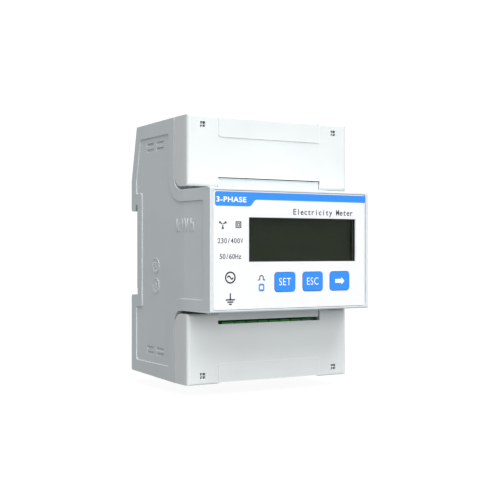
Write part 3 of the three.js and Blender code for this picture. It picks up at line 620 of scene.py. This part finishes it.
def baked(source: bpy.types.Object, name: str) -> bpy.types.Mesh:
    """Turns an object into a plain mesh.

    Args:
        source: A mesh, curve or text object.
        name: Name of the mesh.

    Returns:
        The new mesh, with the object's modifiers applied.
    """
    depsgraph = bpy.context.evaluated_depsgraph_get()
    mesh = bpy.data.meshes.new_from_object(source.evaluated_get(depsgraph), depsgraph=depsgraph)
    mesh.name = name
    return mesh


def arc(centre: Point, radius: float, start: float, stop: float, steps: int = 12) -> Loop:
    """Returns points on an arc between two angles in degrees."""
    angles = [math.radians(start + (stop - start) * k / steps) for k in range(steps + 1)]
    return [(centre[0] + radius * math.cos(a), centre[1] + radius * math.sin(a)) for a in angles]


def rounded(u0: float, u1: float, v0: float, v1: float, radius: float, steps: int = 6) -> Loop:
    """Draws a rectangle with rounded corners, counter-clockwise.

    Args:
        u0: Left side.
        u1: Right side.
        v0: Lower side.
        v1: Upper side.
        radius: Of the corners.
        steps: Lines in each corner.

    Returns:
        The outline.
    """
    corners = [(u1 - radius, v1 - radius, 0), (u0 + radius, v1 - radius, 90)]
    corners += [(u0 + radius, v0 + radius, 180), (u1 - radius, v0 + radius, 270)]
    return [p for u, v, turn in corners for p in arc((u, v), radius, turn, turn + 90, steps)]


def square(centre: Point, half: float, radius: float = 0.1) -> Loop:
    """Returns a square about a point, with slightly rounded corners."""
    u, v = centre
    return rounded(u - half, u + half, v - half, v + half, radius, 2)


def band(points: Loop, width: float) -> Loop:
    """Draws a stroke of constant width.

    Args:
        points: The open run of points that it follows.
        width: Its width, kept at the bends by stretching it there.

    Returns:
        The outline.
    """
    lefts, rights = [], []
    for i, (u, v) in enumerate(points):
        before = Vector(points[max(i - 1, 0)])
        after = Vector(points[min(i + 1, len(points) - 1)])
        along = (after - before).normalized()
        first = (Vector((u, v)) - before).normalized() if i else along
        stretch = 1 / max(SHARPEST_BEND, along.dot(first))
        across = Vector((-along.y, along.x)) * width / 2 * stretch
        lefts.append((u + across.x, v + across.y))
        rights.append((u - across.x, v - across.y))
    return lefts + rights[::-1]


class Face(Enum):
    """Which way a flat drawing faces: where its u, v and height go in the frame."""

    FRONT = Matrix(((1, 0, 0), (0, 0, -1), (0, 1, 0)))
    LEFT = Matrix(((0, 0, -1), (-1, 0, 0), (0, 1, 0)))


@dataclass(frozen=True)
class TextLine:
    """A line of letters in cells of one width, and where the line starts on its baseline.

    Letters wider than `widest` are narrowed to it, `height` is that of a capital, and `weight` is how
    much bolder than plain the letters are, as a share of their size.
    """

    text: str
    start: Point
    pitch: float
    widest: float
    height: float
    weight: float


class Drawing:
    """Flat artwork, gathered shape by shape and then built as one thin mesh."""

    def __init__(self, name: str, thickness: float = PRINT_THICKNESS) -> None:
        """Starts an empty drawing.

        Args:
            name: Name of the piece that it becomes.
            thickness: How far it stands off its surface.
        """
        self.name = name
        self.thickness = thickness
        self.mesh = bmesh.new()

    def _take(self, curve: bpy.types.Curve, fit: Callable[[Vector], Vector]) -> None:
        """Adds a filled curve.

        Args:
            curve: The curve or text.
            fit: Moves each of its points to its place in the drawing.
        """
        holder = new_object("holder", curve)
        flat = baked(holder, "flat")
        bpy.data.objects.remove(holder)
        part = bmesh.new()
        part.from_mesh(flat)
        bpy.data.meshes.remove(flat)
        bmesh.ops.remove_doubles(part, verts=part.verts, dist=JOIN_REACH)
        for vertex in part.verts:
            vertex.co = fit(vertex.co)
        bmesh.ops.recalc_face_normals(part, faces=part.faces)
        joined = bpy.data.meshes.new("joined")
        part.to_mesh(joined)
        part.free()
        self.mesh.from_mesh(joined)
        bpy.data.meshes.remove(joined)

    def shape(self, *loops: Loop) -> "Drawing":
        """Adds a filled outline.

        Args:
            loops: The outline, then any holes in it.

        Returns:
            The drawing.
        """
        curve = bpy.data.curves.new("shape", "CURVE")
        curve.dimensions = "2D"
        curve.fill_mode = "BOTH"
        curve.extrude = self.thickness / 2
        for loop in loops:
            spline = curve.splines.new("POLY")
            spline.points.add(len(loop) - 1)
            for point, (u, v) in zip(spline.points, loop):
                point.co = (u, v, 0, 1)
            spline.use_cyclic_u = True
        self._take(curve, lambda place: place.copy())
        return self

    def stroke(self, points: Loop, width: float) -> "Drawing":
        """Adds a stroke of constant width. Returns the drawing."""
        return self.shape(band(points, width))

    def ring(self, centre: Point, outer: float, inner: float) -> "Drawing":
        """Adds a round ring. Returns the drawing."""
        return self.shape(arc(centre, outer, 0, 354, 59), arc(centre, inner, 0, 354, 59))

    def _letters(self, text: str, weight: float) -> tuple[bpy.types.Curve, Vector, Vector]:
        """Sets a text at unit size.

        Args:
            text: The characters.
            weight: How much bolder than the plain letters, as a share of their size.

        Returns:
            The text curve with its lowest and highest corner.
        """
        curve = bpy.data.curves.new("letters", "FONT")
        curve.body = text
        curve.offset = weight
        curve.space_character = LETTER_SPACING
        curve.resolution_u = LETTER_STEPS
        curve.extrude = self.thickness / 2
        holder = new_object("holder", curve)
        flat = baked(holder, "flat")
        bpy.data.objects.remove(holder)
        places = [vertex.co for vertex in flat.vertices]
        low = Vector([min(place[i] for place in places) for i in range(3)])
        high = Vector([max(place[i] for place in places) for i in range(3)])
        bpy.data.meshes.remove(flat)
        return curve, low, high

    def words(self, text: str, centre: Point, width: float, height: float, weight: float) -> "Drawing":
        """Adds a line of text, fitted to a box.

        Args:
            text: The characters.
            centre: Middle of the box.
            width: Width of the box.
            height: Height of the box.
            weight: How much bolder than the plain letters, as a share of their size.

        Returns:
            The drawing.
        """
        curve, low, high = self._letters(text, weight)
        across, up = width / (high.x - low.x), height / (high.y - low.y)
        middle = (low + high) / 2

        def fit(place: Vector) -> Vector:
            """Returns a letter's point moved into the box."""
            u = centre[0] + (place.x - middle.x) * across
            return Vector((u, centre[1] + (place.y - middle.y) * up, place.z))

        self._take(curve, fit)
        return self

    def spaced_words(self, line: TextLine) -> "Drawing":
        """Adds text with every letter in a cell of the same width.

        Args:
            line: What it says and how it is set.

        Returns:
            The drawing.
        """
        _, low, high = self._letters("E", 0.0)
        up = line.height / (high.y - low.y)
        for i, letter in enumerate(line.text):
            if letter == " ":
                continue
            curve, low, high = self._letters(letter, line.weight)
            across = min(up, line.widest / (high.x - low.x))
            centre, middle = line.start[0] + (i + 0.5) * line.pitch, (low.x + high.x) / 2
            self._take(
                curve,
                lambda place, a=across, c=centre, m=middle: Vector(
                    (c + (place.x - m) * a, line.start[1] + place.y * up, place.z)
                ),
            )
        return self

    def build(
        self, face: Face, lift: float, finish: Finish, bend: Callable[[Vector], Vector] | None = None
    ) -> bpy.types.Object:
        """Makes the piece.

        Args:
            face: Which way it faces.
            lift: How far its back stands from the frame's origin, along its outward direction.
            finish: Its ink or plastic.
            bend: Moves each point, in millimetres, onto a surface that isn't flat.

        Returns:
            The new object.
        """
        for vertex in self.mesh.verts:
            flat = Vector((vertex.co.x, vertex.co.y, vertex.co.z + self.thickness / 2 + lift))
            place = face.value @ flat
            vertex.co = (bend(place) if bend else place) * MM
        mesh = bpy.data.meshes.new(self.name)
        self.mesh.to_mesh(mesh)
        self.mesh.free()
        mesh.materials.append(finished(finish))
        return new_object(self.name, mesh)


def report(piece: bpy.types.Object | str, note: str) -> None:
    """Logs what was made."""
    LOG.info("%s: %s", piece if isinstance(piece, str) else piece.name, note)


def corners_mm(node: str) -> tuple[Vector, Vector]:
    """Returns a CAD node's lowest and highest corner in millimetres."""
    low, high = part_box(node)
    return low / MM, high / MM


# ---------------------------------------------------------------------- case


@dataclass
class Case:
    """The case, its rear base and their screws, with moulded marks on the left side."""

    panel_depth: float = 0.4
    bend_depth: float = 41.0
    narrowing_rate: float = 1 / 19
    seam_depth: float = 33.5
    seam_radius: float = 5.0
    hood_half: float = 22.5
    bead_width: float = 0.5
    bead_height: float = 0.08
    mark_height: float = 0.22
    unit_line: TextLine = TextLine("kWh", (33.6, 7.0), 5.3, 4.9, 4.7, 0.0)
    dial_radius: float = 2.9
    dial_depth: float = 17.0
    dial_heights: tuple[float, ...] = (-6.0, -14.0)
    dial_ticks: int = 12
    dial_line: float = 0.3
    tick_ends: Point = (1.1, 0.5)
    arrow_line: float = 0.35
    arrow_low: float = -1.1
    arrow_neck: float = 0.4
    arrow_base: float = 0.45
    arrow_tip: float = 1.3
    arrow_half: float = 0.6
    seam_top: float = 49.8
    seam_front_short: float = 1.0

    def dress(self) -> None:
        """Finishes the case's own CAD nodes."""
        soften("main_case", Finish.CASE, 0.25)
        soften("rear_base", Finish.BASE, 0.25)
        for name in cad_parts:
            if name.startswith("base_screw_"):
                soften(name, Finish.STEEL, 0.12)
        soften("top_seal_tab", Finish.TAB, 0.15)
        report("main_case", "case, base, screws and seal tab finished")

    def _on_side(self, place: Vector) -> Vector:
        """Returns a point moved in with the side where the case narrows towards the front."""
        past = max(0.0, -place.y - self.bend_depth)
        return Vector((place.x + past * self.narrowing_rate, place.y, place.z))

    def moulded_marks(self) -> None:
        """Raises a generic unit mark and two date dials from the left side panel."""
        low, _ = corners_mm("main_case")
        lift = -low.x - self.panel_depth
        unit = Drawing("side_unit_mark", self.mark_height).spaced_words(self.unit_line)
        piece = unit.build(Face.LEFT, lift, Finish.CASE, self._on_side)
        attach(piece, "housing")
        dials = Drawing("side_date_dials", self.mark_height)
        for height in self.dial_heights:
            self._dial(dials, (self.dial_depth, height))
        piece = dials.build(Face.LEFT, lift, Finish.CASE, self._on_side)
        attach(piece, "housing")
        report(piece, "moulded marks raised")

    def seam_highlight_beads(self) -> None:
        """Raises a fine bead on the left side, along the case's edge beside each cover; its painted edge
        highlight makes a light line along the seam.
        """
        low, _ = corners_mm("main_case")
        depth, radius, hood = self.seam_depth, self.seam_radius, self.hood_half
        inset = self.bead_width / 2
        bend = arc((depth + radius, hood + radius), radius + inset, 180, 270, 10)
        front = -low.y - self.seam_front_short
        run = [(depth - inset, self.seam_top)] + bend + [(front, hood - inset)]
        beads = Drawing("case_seam_beads", self.bead_height)
        for end in (1, -1):
            beads.stroke([(u, end * v) for u, v in run], self.bead_width)
        piece = beads.build(Face.LEFT, -low.x, Finish.CASE, self._on_side)
        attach(piece, "housing")
        report(piece, "seam beads raised")

    def _dial(self, drawing: Drawing, centre: Point) -> None:
        """Draws one date dial: a ring, ticks and an arrow.

        Args:
            drawing: What it is added to.
            centre: Depth and height of its middle.
        """
        radius, line = self.dial_radius, self.dial_line
        drawing.ring(centre, radius, radius - line)
        step = 360 / self.dial_ticks
        for k in range(self.dial_ticks):
            turn = step * k
            inner, outer = (arc(centre, radius - short, turn, turn, 1)[0] for short in self.tick_ends)
            drawing.stroke([inner, outer], line)
        u, v = centre
        drawing.stroke([(u, v + self.arrow_low), (u, v + self.arrow_neck)], self.arrow_line)
        base, half = v + self.arrow_base, self.arrow_half
        drawing.shape([(u - half, base), (u + half, base), (u, v + self.arrow_tip)])


# ---------------------------------------------------------------------- label


@dataclass
class FrontLabel:
    """The printed film on the hood, with its band, symbols and lines of small print."""

    band_top: float = 21.0
    band_low: float = 15.8
    band_thin: float = 18.3
    band_left: float = -32.9
    band_right: float = 33.7
    step_left: float = -18.6
    step_right: float = -15.9
    step_lower: tuple[Point, Point] = ((0.0, 0.0), (0.9, 0.5))
    step_upper: tuple[Point, Point] = ((-0.5, -0.3), (0.4, 0.0))
    band_corner: float = 0.8
    band_end_corner: float = 0.4
    band_words: tuple[Point, float, float, float] = ((-26.1, 18.2), 12.4, 1.95, 0.018)
    name_line: TextLine = TextLine("Electricity Meter", (0.2, 13.2), 1.63, 1.45, 2.05, 0.016)
    rating_lines: tuple[TextLine, ...] = (
        TextLine("230/400V", (-31.9, 2.45), 1.34, 1.1, 1.75, 0.012),
        TextLine("50/60Hz", (-31.1, -3.2), 1.3, 1.12, 1.75, 0.014),
    )
    star: Point = (-29.7, 9.2)
    star_reaches: tuple[float, float, float] = (0.2, 1.15, 1.35)
    star_line: float = 0.42
    squares: Point = (-23.25, 9.15)
    square_halves: tuple[Point, Point] = ((1.2, 0.8), (0.6, 0.3))
    current: Point = (-26.6, -9.9)
    current_ring: tuple[float, float] = (2.2, 1.65)
    wave_half: float = 1.2
    wave_height: float = 0.55
    earth: Point = (-26.6, -17.6)
    earth_stem: tuple[float, float] = (2.1, -0.1)
    stem_line: float = 0.52
    earth_drop: float = 0.3
    earth_pitch: float = 0.8
    earth_bars: tuple[float, ...] = (1.9, 1.25, 0.6)
    symbol_line: float = 0.5
    pulse_above_light: float = 2.75
    pulse_half: tuple[Point, ...] = ((1.6, 0.0), (1.0, 0.0), (0.78, 0.25), (0.7, 1.2), (0.4, 1.55))
    pulse_line: float = 0.38
    light_frame: tuple[float, float, float] = (1.2, 1.4, 0.7)
    light_clear: float = 0.02
    light_corner: float = 0.1
    lift: float = field(init=False)

    def __post_init__(self) -> None:
        """Finds the film's face."""
        self.lift = -corners_mm("front_label")[0].y

    def _print(self, drawing: Drawing, finish: Finish, above: float = 0.0) -> None:
        """Builds a drawing on the film and lets it ride on the housing.

        Args:
            drawing: What is printed.
            finish: Its ink.
            above: How far above the film, for ink on ink.
        """
        piece = drawing.build(Face.FRONT, self.lift + above, finish)
        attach(piece, "housing")
        report(piece, "printed")

    def make(self) -> None:
        """Finishes the film and prints everything on it."""
        soften("front_label", Finish.LABEL, 0.12)
        self._band()
        self._texts()
        self._symbols()
        self._pulse()

    def _band(self) -> None:
        """Prints the blue band with its wide left end, and the white words on it."""
        left, right, top = self.band_left, self.band_right, self.band_top
        low, thin, large, small = self.band_low, self.band_thin, self.band_corner, self.band_end_corner
        outline = arc((left + large, top - large), large, 90, 180, 6)
        outline += arc((left + large, low + large), large, 180, 270, 6)
        outline += [(self.step_left + a, low + b) for a, b in self.step_lower]
        outline += [(self.step_right + a, thin + b) for a, b in self.step_upper]
        outline += arc((right - small, thin + small), small, 270, 360, 4)
        outline += arc((right - small, top - small), small, 0, 90, 4)
        self._print(Drawing("label_band").shape(outline), Finish.INK_BLUE)
        words = Drawing("label_band_words").words("3-PHASE", *self.band_words)
        self._print(words, Finish.INK_WHITE, PRINT_THICKNESS)

    def _texts(self) -> None:
        """Prints the name line and the two rating lines."""
        self._print(Drawing("label_name").spaced_words(self.name_line), Finish.INK_BLACK)
        ratings = Drawing("label_ratings")
        for line in self.rating_lines:
            ratings.spaced_words(line)
        self._print(ratings, Finish.INK_GREY)

    def _symbols(self) -> None:
        """Prints star connection, double insulation, alternating current and earth symbols."""
        grey = Drawing("label_small_symbols")
        for turn in (270, 30, 150):
            root, tip, ball = (arc(self.star, reach, turn, turn, 1)[0] for reach in self.star_reaches)
            grey.stroke([root, tip], self.star_line)
            grey.shape(arc(ball, self.star_line, 0, 345, 23))
        for outer, inner in self.square_halves:
            grey.shape(square(self.squares, outer), square(self.squares, inner))
        self._print(grey, Finish.INK_GREY)
        black = Drawing("label_symbols").ring(self.current, *self.current_ring)
        black.stroke(self._wave(), self.symbol_line)
        u, v = self.earth
        black.stroke([(u, v + end) for end in self.earth_stem], self.stem_line)
        for k, half in enumerate(self.earth_bars):
            height = v - self.earth_drop - self.earth_pitch * k
            black.stroke([(u - half, height), (u + half, height)], self.symbol_line)
        self._print(black, Finish.INK_BLACK)

    def _wave(self, steps: int = 24) -> Loop:
        """Draws one period of a sine wave in the middle of the current symbol.

        Args:
            steps: Straight lines in it.

        Returns:
            The run of points.
        """
        (u, v), half, height = self.current, self.wave_half, self.wave_height
        turns = [k / steps for k in range(steps + 1)]
        return [(u + half * (2 * turn - 1), v + height * math.sin(2 * math.pi * turn)) for turn in turns]

    def _pulse(self) -> None:
        """Prints the pulse symbol and the blue frame around the pulse light."""
        low, high = corners_mm("light_pipe")
        u, v = (low.x + high.x) / 2, (low.z + high.z) / 2
        base = v + self.pulse_above_light
        half = self.pulse_half
        steps = [(u - a, base + b) for a, b in half] + [(u + a, base + b) for a, b in half[::-1]]
        self._print(Drawing("label_pulse").stroke(steps, self.pulse_line), Finish.INK_BLACK)
        half_w, half_h, corner = self.light_frame
        outer = rounded(u - half_w, u + half_w, v - half_h, v + half_h, corner)
        gap, tight = self.light_clear, self.light_corner
        inner = rounded(low.x - gap, high.x + gap, low.z - gap, high.z + gap, tight, 2)
        self._print(Drawing("label_light_frame").shape(outer, inner), Finish.INK_LIGHT_BLUE)


# ---------------------------------------------------------------------- display


@dataclass
class Display:
    """The window with a black border standing in for the shade of the opening's walls, and the cell with
    faint segments behind it.
    """

    border: float = 0.5
    border_outside: float = 0.6
    window_margin: float = 0.7
    corner: float = 0.05
    segment_thickness: float = 0.01
    digit_drop: float = 0.6
    segment_gap: float = 0.7
    point_from_digit: float = 0.75
    point_radius: float = 0.4
    digit_count: int = 8
    digit_width: float = 3.6
    digit_height: float = 7.4
    digit_pitch: float = 5.1
    stroke_width: float = 0.7
    glass_clear: float = 0.03

    def make(self) -> None:
        """Finishes window, cell and carrier, and prints the black border, which is painted shade, and the
        segments.
        """
        soften("display_window", Finish.WINDOW, 0.1)
        soften("display_cell", Finish.CRYSTAL, 0.1)
        soften("display_carrier", Finish.CARRIER, 0.2)
        self._painted_shade_ring()
        self._segments()

    def _painted_shade_ring(self) -> None:
        """Prints a black border on the window's face: painted shade where the opening's walls are in
        shade.
        """
        low, high = corners_mm("display_window")
        margin, corner = self.window_margin, self.corner
        u0, u1, v0, v1 = low.x + margin, high.x - margin, low.z + margin, high.z - margin
        out, wide = self.border_outside, self.border
        # painted shade: a black ring where the opening's walls are in shade
        outer = rounded(u0 - out, u1 + out, v0 - out, v1 + out, corner, 1)
        inner = rounded(u0 + wide, u1 - wide, v0 + wide, v1 - wide, corner, 1)
        piece = Drawing("window_border").shape(outer, inner).build(Face.FRONT, -low.y, Finish.INK_BLACK)
        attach(piece, "housing")
        report(piece, "black border printed")
        self._front_glass((u0, u1, v0, v1), -high.y)

    def _front_glass(self, view: tuple[float, float, float, float], window_back: float) -> None:
        """Fills the opening between window and cell with the cell's front glass.

        Args:
            view: Left, right, lower and upper side of the opening.
            window_back: Depth of the window's inner face.
        """
        cell_front = -corners_mm("display_cell")[0].y
        clear = self.glass_clear
        u0, u1, v0, v1 = view
        outline = rounded(u0 + clear, u1 - clear, v0 + clear, v1 - clear, self.corner, 1)
        glass = Drawing("display_front_glass", window_back - cell_front - 2 * clear).shape(outline)
        piece = glass.build(Face.FRONT, cell_front + clear, Finish.CRYSTAL)
        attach(piece, "housing")
        report(piece, "front glass set")

    def _segments(self) -> None:
        """Lays the faint segments of the unpowered digits on the front glass."""
        low, high = corners_mm("display_cell")
        middle = ((low.x + high.x) / 2, (low.z + high.z) / 2)
        segments = Drawing("display_segments", self.segment_thickness)
        half_w, half_h, wide = self.digit_width / 2, self.digit_height / 2, self.stroke_width
        short = wide * self.segment_gap
        for k in range(self.digit_count):
            u = middle[0] + (k - (self.digit_count - 1) / 2) * self.digit_pitch
            v = middle[1] - self.digit_drop
            for level in (-half_h, 0.0, half_h):
                segments.stroke([(u - half_w + short, v + level), (u + half_w - short, v + level)], wide)
            for side in (-half_w, half_w):
                for base in (-half_h, 0.0):
                    ends = [(u + side, v + base + short), (u + side, v + base + half_h - short)]
                    segments.stroke(ends, wide)
            point = (u + half_w + self.point_from_digit, v - half_h)
            segments.shape(arc(point, self.point_radius, 0, 330, 11))
        front = -corners_mm("display_window")[1].y - self.glass_clear
        piece = segments.build(Face.FRONT, front, Finish.SEGMENT)
        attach(piece, "housing")
        report(piece, "segments laid")


# ---------------------------------------------------------------------- keys


class Legend(Enum):
    """What each key says."""

    SET = "set"
    ESC = "esc"
    NEXT = "next"


@dataclass
class Keys:
    """The three blue keys with their white legends."""

    word_width: float = 5.2
    word_height: float = 2.7
    word_weight: float = -0.01
    word_shift: Point = (-0.1, 0.1)
    arrow_shift: float = -0.05
    arrow_tail: float = 2.1
    arrow_neck: float = 0.75
    arrow_tip: float = 2.15
    shaft_half: float = 0.72
    head_half: float = 1.4

    def make(self) -> None:
        """Finishes each key, its switch and plunger, and prints its legend."""
        for legend in Legend:
            soften(f"key_{legend.value}", Finish.KEY, 0.3, 4)
            soften(f"switch_{legend.value}", Finish.BLACK, 0.15)
            soften(f"plunger_{legend.value}", Finish.BLACK, 0.15)
            self._legend(legend)

    def _legend(self, legend: Legend) -> None:
        """Prints one key's legend on its face.

        Args:
            legend: The key's word or sign.
        """
        low, high = corners_mm(f"key_{legend.value}")
        u, v = (low.x + high.x) / 2, (low.z + high.z) / 2
        drawing = Drawing(f"legend_{legend.value}")
        if legend is Legend.NEXT:
            drawing.shape(self._arrow(u + self.arrow_shift, v))
        else:
            centre = (u + self.word_shift[0], v + self.word_shift[1])
            drawing.words(legend.name, centre, self.word_width, self.word_height, self.word_weight)
        piece = drawing.build(Face.FRONT, -low.y, Finish.INK_WHITE)
        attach(piece, f"{legend.value}_key")
        report(piece, "legend printed")

    def _arrow(self, u: float, v: float) -> Loop:
        """Draws a thick arrow to the right.

        Args:
            u: Its middle across.
            v: Its middle upwards.

        Returns:
            The outline.
        """
        tail, neck, tip = u - self.arrow_tail, u + self.arrow_neck, u + self.arrow_tip
        shaft, head = self.shaft_half, self.head_half
        lower = [(tail, v - shaft), (neck, v - shaft), (neck, v - head), (tip, v)]
        return lower + [(neck, v + head), (neck, v + shaft), (tail, v + shaft)]


# ---------------------------------------------------------------------- terminal ends


@dataclass
class TerminalEnd:
    """One end of the meter: its cover, terminal block, screws and clamps."""

    end: str
    sign: int
    block: Finish
    panel_half: float = 22.8
    panel_height: float = 7.6
    panel_short: float = 0.45
    panel_proud: float = 0.26
    panel_radius: float = 1.0
    seal_from_side: float = 6.5
    seal_from_end: float = 3.3
    seal_half: float = 1.1
    seal_bar: float = 0.28
    seal_sunk: float = 0.45
    seal_thick: float = 0.6
    seal_margin: float = 0.15
    panel_root: float = 0.1
    panel_round: float = 0.16
    seal_round: float = 0.05
    low: Vector = field(init=False)
    high: Vector = field(init=False)

    def __post_init__(self) -> None:
        """Finds the cover."""
        self.low, self.high = corners_mm(f"{self.end}_cover")

    @property
    def outer(self) -> float:
        """The cover's outer end, from the middle of the meter."""
        return abs(self.high.z if self.sign > 0 else self.low.z)

    def make(self) -> None:
        """Finishes the end's pieces and details its cover."""
        soften(f"{self.end}_cover", Finish.COVER, 0.3)
        soften(f"{self.end}_terminal_block", self.block, 0.15)
        for name in sorted(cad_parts):
            if name.startswith(f"{self.end}_screw_"):
                soften(name, Finish.STEEL, 0.1)
            if name.startswith(f"{self.end}_clamp_"):
                soften(name, Finish.CLAMP, 0.12)
        self._panel()
        self._seal_grids()
        report(f"{self.end}_cover", "terminal end finished")

    def _place(self, u: float, v: float) -> Point:
        """Returns a point of the top end's drawing turned to this end."""
        return (u, v) if self.sign > 0 else (-u, -v)

    def _ride(self, drawing: Drawing, lift: float, width: float) -> None:
        """Builds a detail of the cover and lets it turn with the cover.

        Args:
            drawing: The detail's shape.
            lift: Depth of its back.
            width: Width of its rounded edges.
        """
        piece = drawing.build(Face.FRONT, lift, Finish.COVER)
        round_edges(piece, width)
        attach(piece, f"{self.end}_flap")

    def _panel(self) -> None:
        """Raises the panel over the cable opening slightly from the cover's face."""
        outer, inner = self.outer - self.panel_short, self.outer - self.panel_height
        half, radius = self.panel_half, self.panel_radius
        outline = arc((-half + radius, inner + radius), radius, 180, 270, 6)
        outline += arc((half - radius, inner + radius), radius, 270, 360, 6)
        outline += [(half, outer), (-half, outer)]
        panel = Drawing(f"{self.end}_cover_panel", self.panel_proud + self.panel_root)
        panel.shape([self._place(u, v) for u, v in outline])
        self._ride(panel, -self.low.y - self.panel_root, self.panel_round)

    def _seal_grids(self) -> None:
        """Bars the two seal holes with a cross a little below the face."""
        grids = Drawing(f"{self.end}_cover_seal_grids", self.seal_thick)
        half, bar = self.seal_half + self.seal_margin, self.seal_bar / 2
        v = self.outer - self.seal_from_end
        for side in (-1, 1):
            u = side * (self.high.x - self.seal_from_side)
            cross = [(-bar, half), (-bar, bar), (-half, bar), (-half, -bar), (-bar, -bar), (-bar, -half)]
            cross += [(-a, -b) for a, b in cross]
            grids.shape([self._place(u + a, v + b) for a, b in cross])
        self._ride(grids, -self.low.y - self.seal_sunk - self.seal_thick, self.seal_round)


# ---------------------------------------------------------------------- inside


@dataclass
class Inside:
    """Boards and parts inside the hood."""

    def dress(self) -> None:
        """Finishes the boards, the parts on them and the pulse light."""
        for name in ("main_board", "display_board"):
            soften(name, Finish.BOARD, 0.1)
        for name in ("capacitor_large", "capacitor_small", "metering_chip", "board_link"):
            soften(name, Finish.BLACK, 0.2)
        soften("transformer", Finish.CORE, 0.3)
        soften("light_pipe", Finish.LIGHT, 0.1)
        soften("pulse_led", Finish.LIGHT, 0.15)
        report("main_board", "boards and their parts finished")


@dataclass
class RailFoot:
    """The sliding rail foot and its spring."""

    travel: float = 4.0

    def dress(self) -> None:
        """Finishes the foot, and gives a copy of the spring its wire finish on the housing."""
        soften("rail_foot", Finish.FOOT, 0.25)
        coil = new_object("foot_spring_coil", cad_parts["foot_spring"].data.copy())
        coil.data.materials.clear()
        coil.data.materials.append(finished(Finish.WIRE))
        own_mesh(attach(coil, "housing"))
        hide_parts("foot_spring")
        report(coil, "spring wound")


# ---------------------------------------------------------------------- studio


@dataclass
class Studio:
    """A plain pale floor, soft light and the camera."""

    camera_place: tuple[float, float, float] = (-205.9, -375.6, 0.0)
    camera_turn: float = -30.7
    lens: float = 72.86
    floor_drop: float = 4.4
    floor_reach: float = 6000.0
    floor_shade: float = 0.08
    floor_glow: float = 0.93
    ambient: float = 0.36
    surroundings_seen: float = 1.05
    surroundings_tint: tuple[float, float, float, float] = (0.97, 0.985, 1, 1)

    def make(self) -> None:
        """Sets up camera, floor, world and lights."""
        self._camera()
        self._floor()
        self._world()
        self._sun("front_light", 1.6, 15.0, 40.0)
        self._sun("top_light", 3.2, 66.0, 50.0)
        self._light("left_fill", (-450.0, -250.0, 450.0), 300.0, 0.85)
        self._light("low_fill", (0.0, -420.0, -330.0), 300.0, 0.5)
        bpy.context.scene.view_settings.view_transform = "Standard"

    def _camera(self) -> None:
        """Places the camera level with the middle of the meter."""
        data = bpy.data.cameras.new("camera")
        data.lens = self.lens
        data.sensor_width = 36.0
        data.clip_start = 0.01
        data.clip_end = 50.0
        camera = new_object("camera", data)
        camera.location = Vector(self.camera_place) * MM
        camera.rotation_euler = (math.radians(90), 0.0, math.radians(self.camera_turn))
        bpy.context.scene.camera = camera

    def _floor(self) -> None:
        """Lays a wide pale floor under the meter, clear of the rail foot at its lowest."""
        low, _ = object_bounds()
        reach = self.floor_reach * MM
        height = low.z - self.floor_drop * MM
        mesh = bpy.data.meshes.new("floor")
        corners = [(x * reach, y * reach, height) for x, y in ((-1, -1), (1, -1), (1, 1), (-1, 1))]
        mesh.from_pydata(corners, [], [(0, 1, 2, 3)])
        recipe = Recipe("floor_pale")
        dark, pale = ((shade, shade, shade, 1) for shade in (self.floor_shade, self.floor_shade * 1.1))
        recipe.feed(recipe.between(recipe.noise(400.0), dark, pale), "Base Color")
        recipe.value("Roughness", 0.9)
        recipe.value("Specular IOR Level", 0.1)
        recipe.value("Emission Color", (1, 1, 1, 1))
        recipe.value("Emission Strength", self.floor_glow)
        mesh.materials.append(recipe.material)
        floor = new_object("floor", mesh)
        floor.visible_diffuse = False
        floor.visible_glossy = False
        floor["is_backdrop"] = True

    def _world(self) -> None:
        """Makes the surroundings white to look at and softer as a light."""
        world = bpy.data.worlds.new("surroundings")
        world.use_nodes = True
        nodes, links = world.node_tree.nodes, world.node_tree.links
        seen, soft = nodes["Background"], nodes.new("ShaderNodeBackground")
        seen.inputs["Color"].default_value = (1, 1, 1, 1)
        seen.inputs["Strength"].default_value = self.surroundings_seen
        soft.inputs["Color"].default_value = self.surroundings_tint
        soft.inputs["Strength"].default_value = self.ambient
        choice, path = nodes.new("ShaderNodeMixShader"), nodes.new("ShaderNodeLightPath")
        links.new(path.outputs["Is Camera Ray"], choice.inputs["Fac"])
        links.new(soft.outputs["Background"], choice.inputs[1])
        links.new(seen.outputs["Background"], choice.inputs[2])
        links.new(choice.outputs["Shader"], nodes["World Output"].inputs["Surface"])
        bpy.context.scene.world = world

    def _sun(self, name: str, strength: float, height: float, spread: float) -> None:
        """Lights the front evenly, as a large and distant soft box would.

        Args:
            name: Name of the light.
            strength: Its irradiance.
            height: Degrees over the horizon.
            spread: Degrees that the soft box spans.
        """
        data = bpy.data.lights.new(name, "SUN")
        data.energy = strength
        data.angle = math.radians(spread)
        light = new_object(name, data)
        rise = math.radians(height)
        towards = Vector((0.0, -math.cos(rise), math.sin(rise)))
        light.rotation_euler = towards.to_track_quat("Z", "Y").to_euler()

    def _light(self, name: str, place: tuple[float, float, float], size: float, power: float) -> None:
        """Hangs a square soft light that looks at the meter.

        Args:
            name: Name of the light.
            place: Where it hangs.
            size: Its side.
            power: In watts.
        """
        data = bpy.data.lights.new(name, "AREA")
        data.size = size * MM
        data.energy = power
        light = new_object(name, data)
        light.location = Vector(place) * MM
        light.rotation_euler = (-light.location).to_track_quat("-Z", "Y").to_euler()


# ---------------------------------------------------------------------- all together


def main() -> None:
    """Builds the meter's looks, sub-assembly by sub-assembly."""
    logging.basicConfig(level=logging.INFO, format="%(message)s")
    Studio().make()
    case = Case()
    case.dress()
    case.moulded_marks()
    case.seam_highlight_beads()
    FrontLabel().make()
    Display().make()
    Keys().make()
    TerminalEnd("top", 1, Finish.TERMINAL_GREY).make()
    TerminalEnd("bottom", -1, Finish.TERMINAL_GREEN).make()
    Inside().dress()
    RailFoot().dress()


if __name__ == "__main__":
    main()
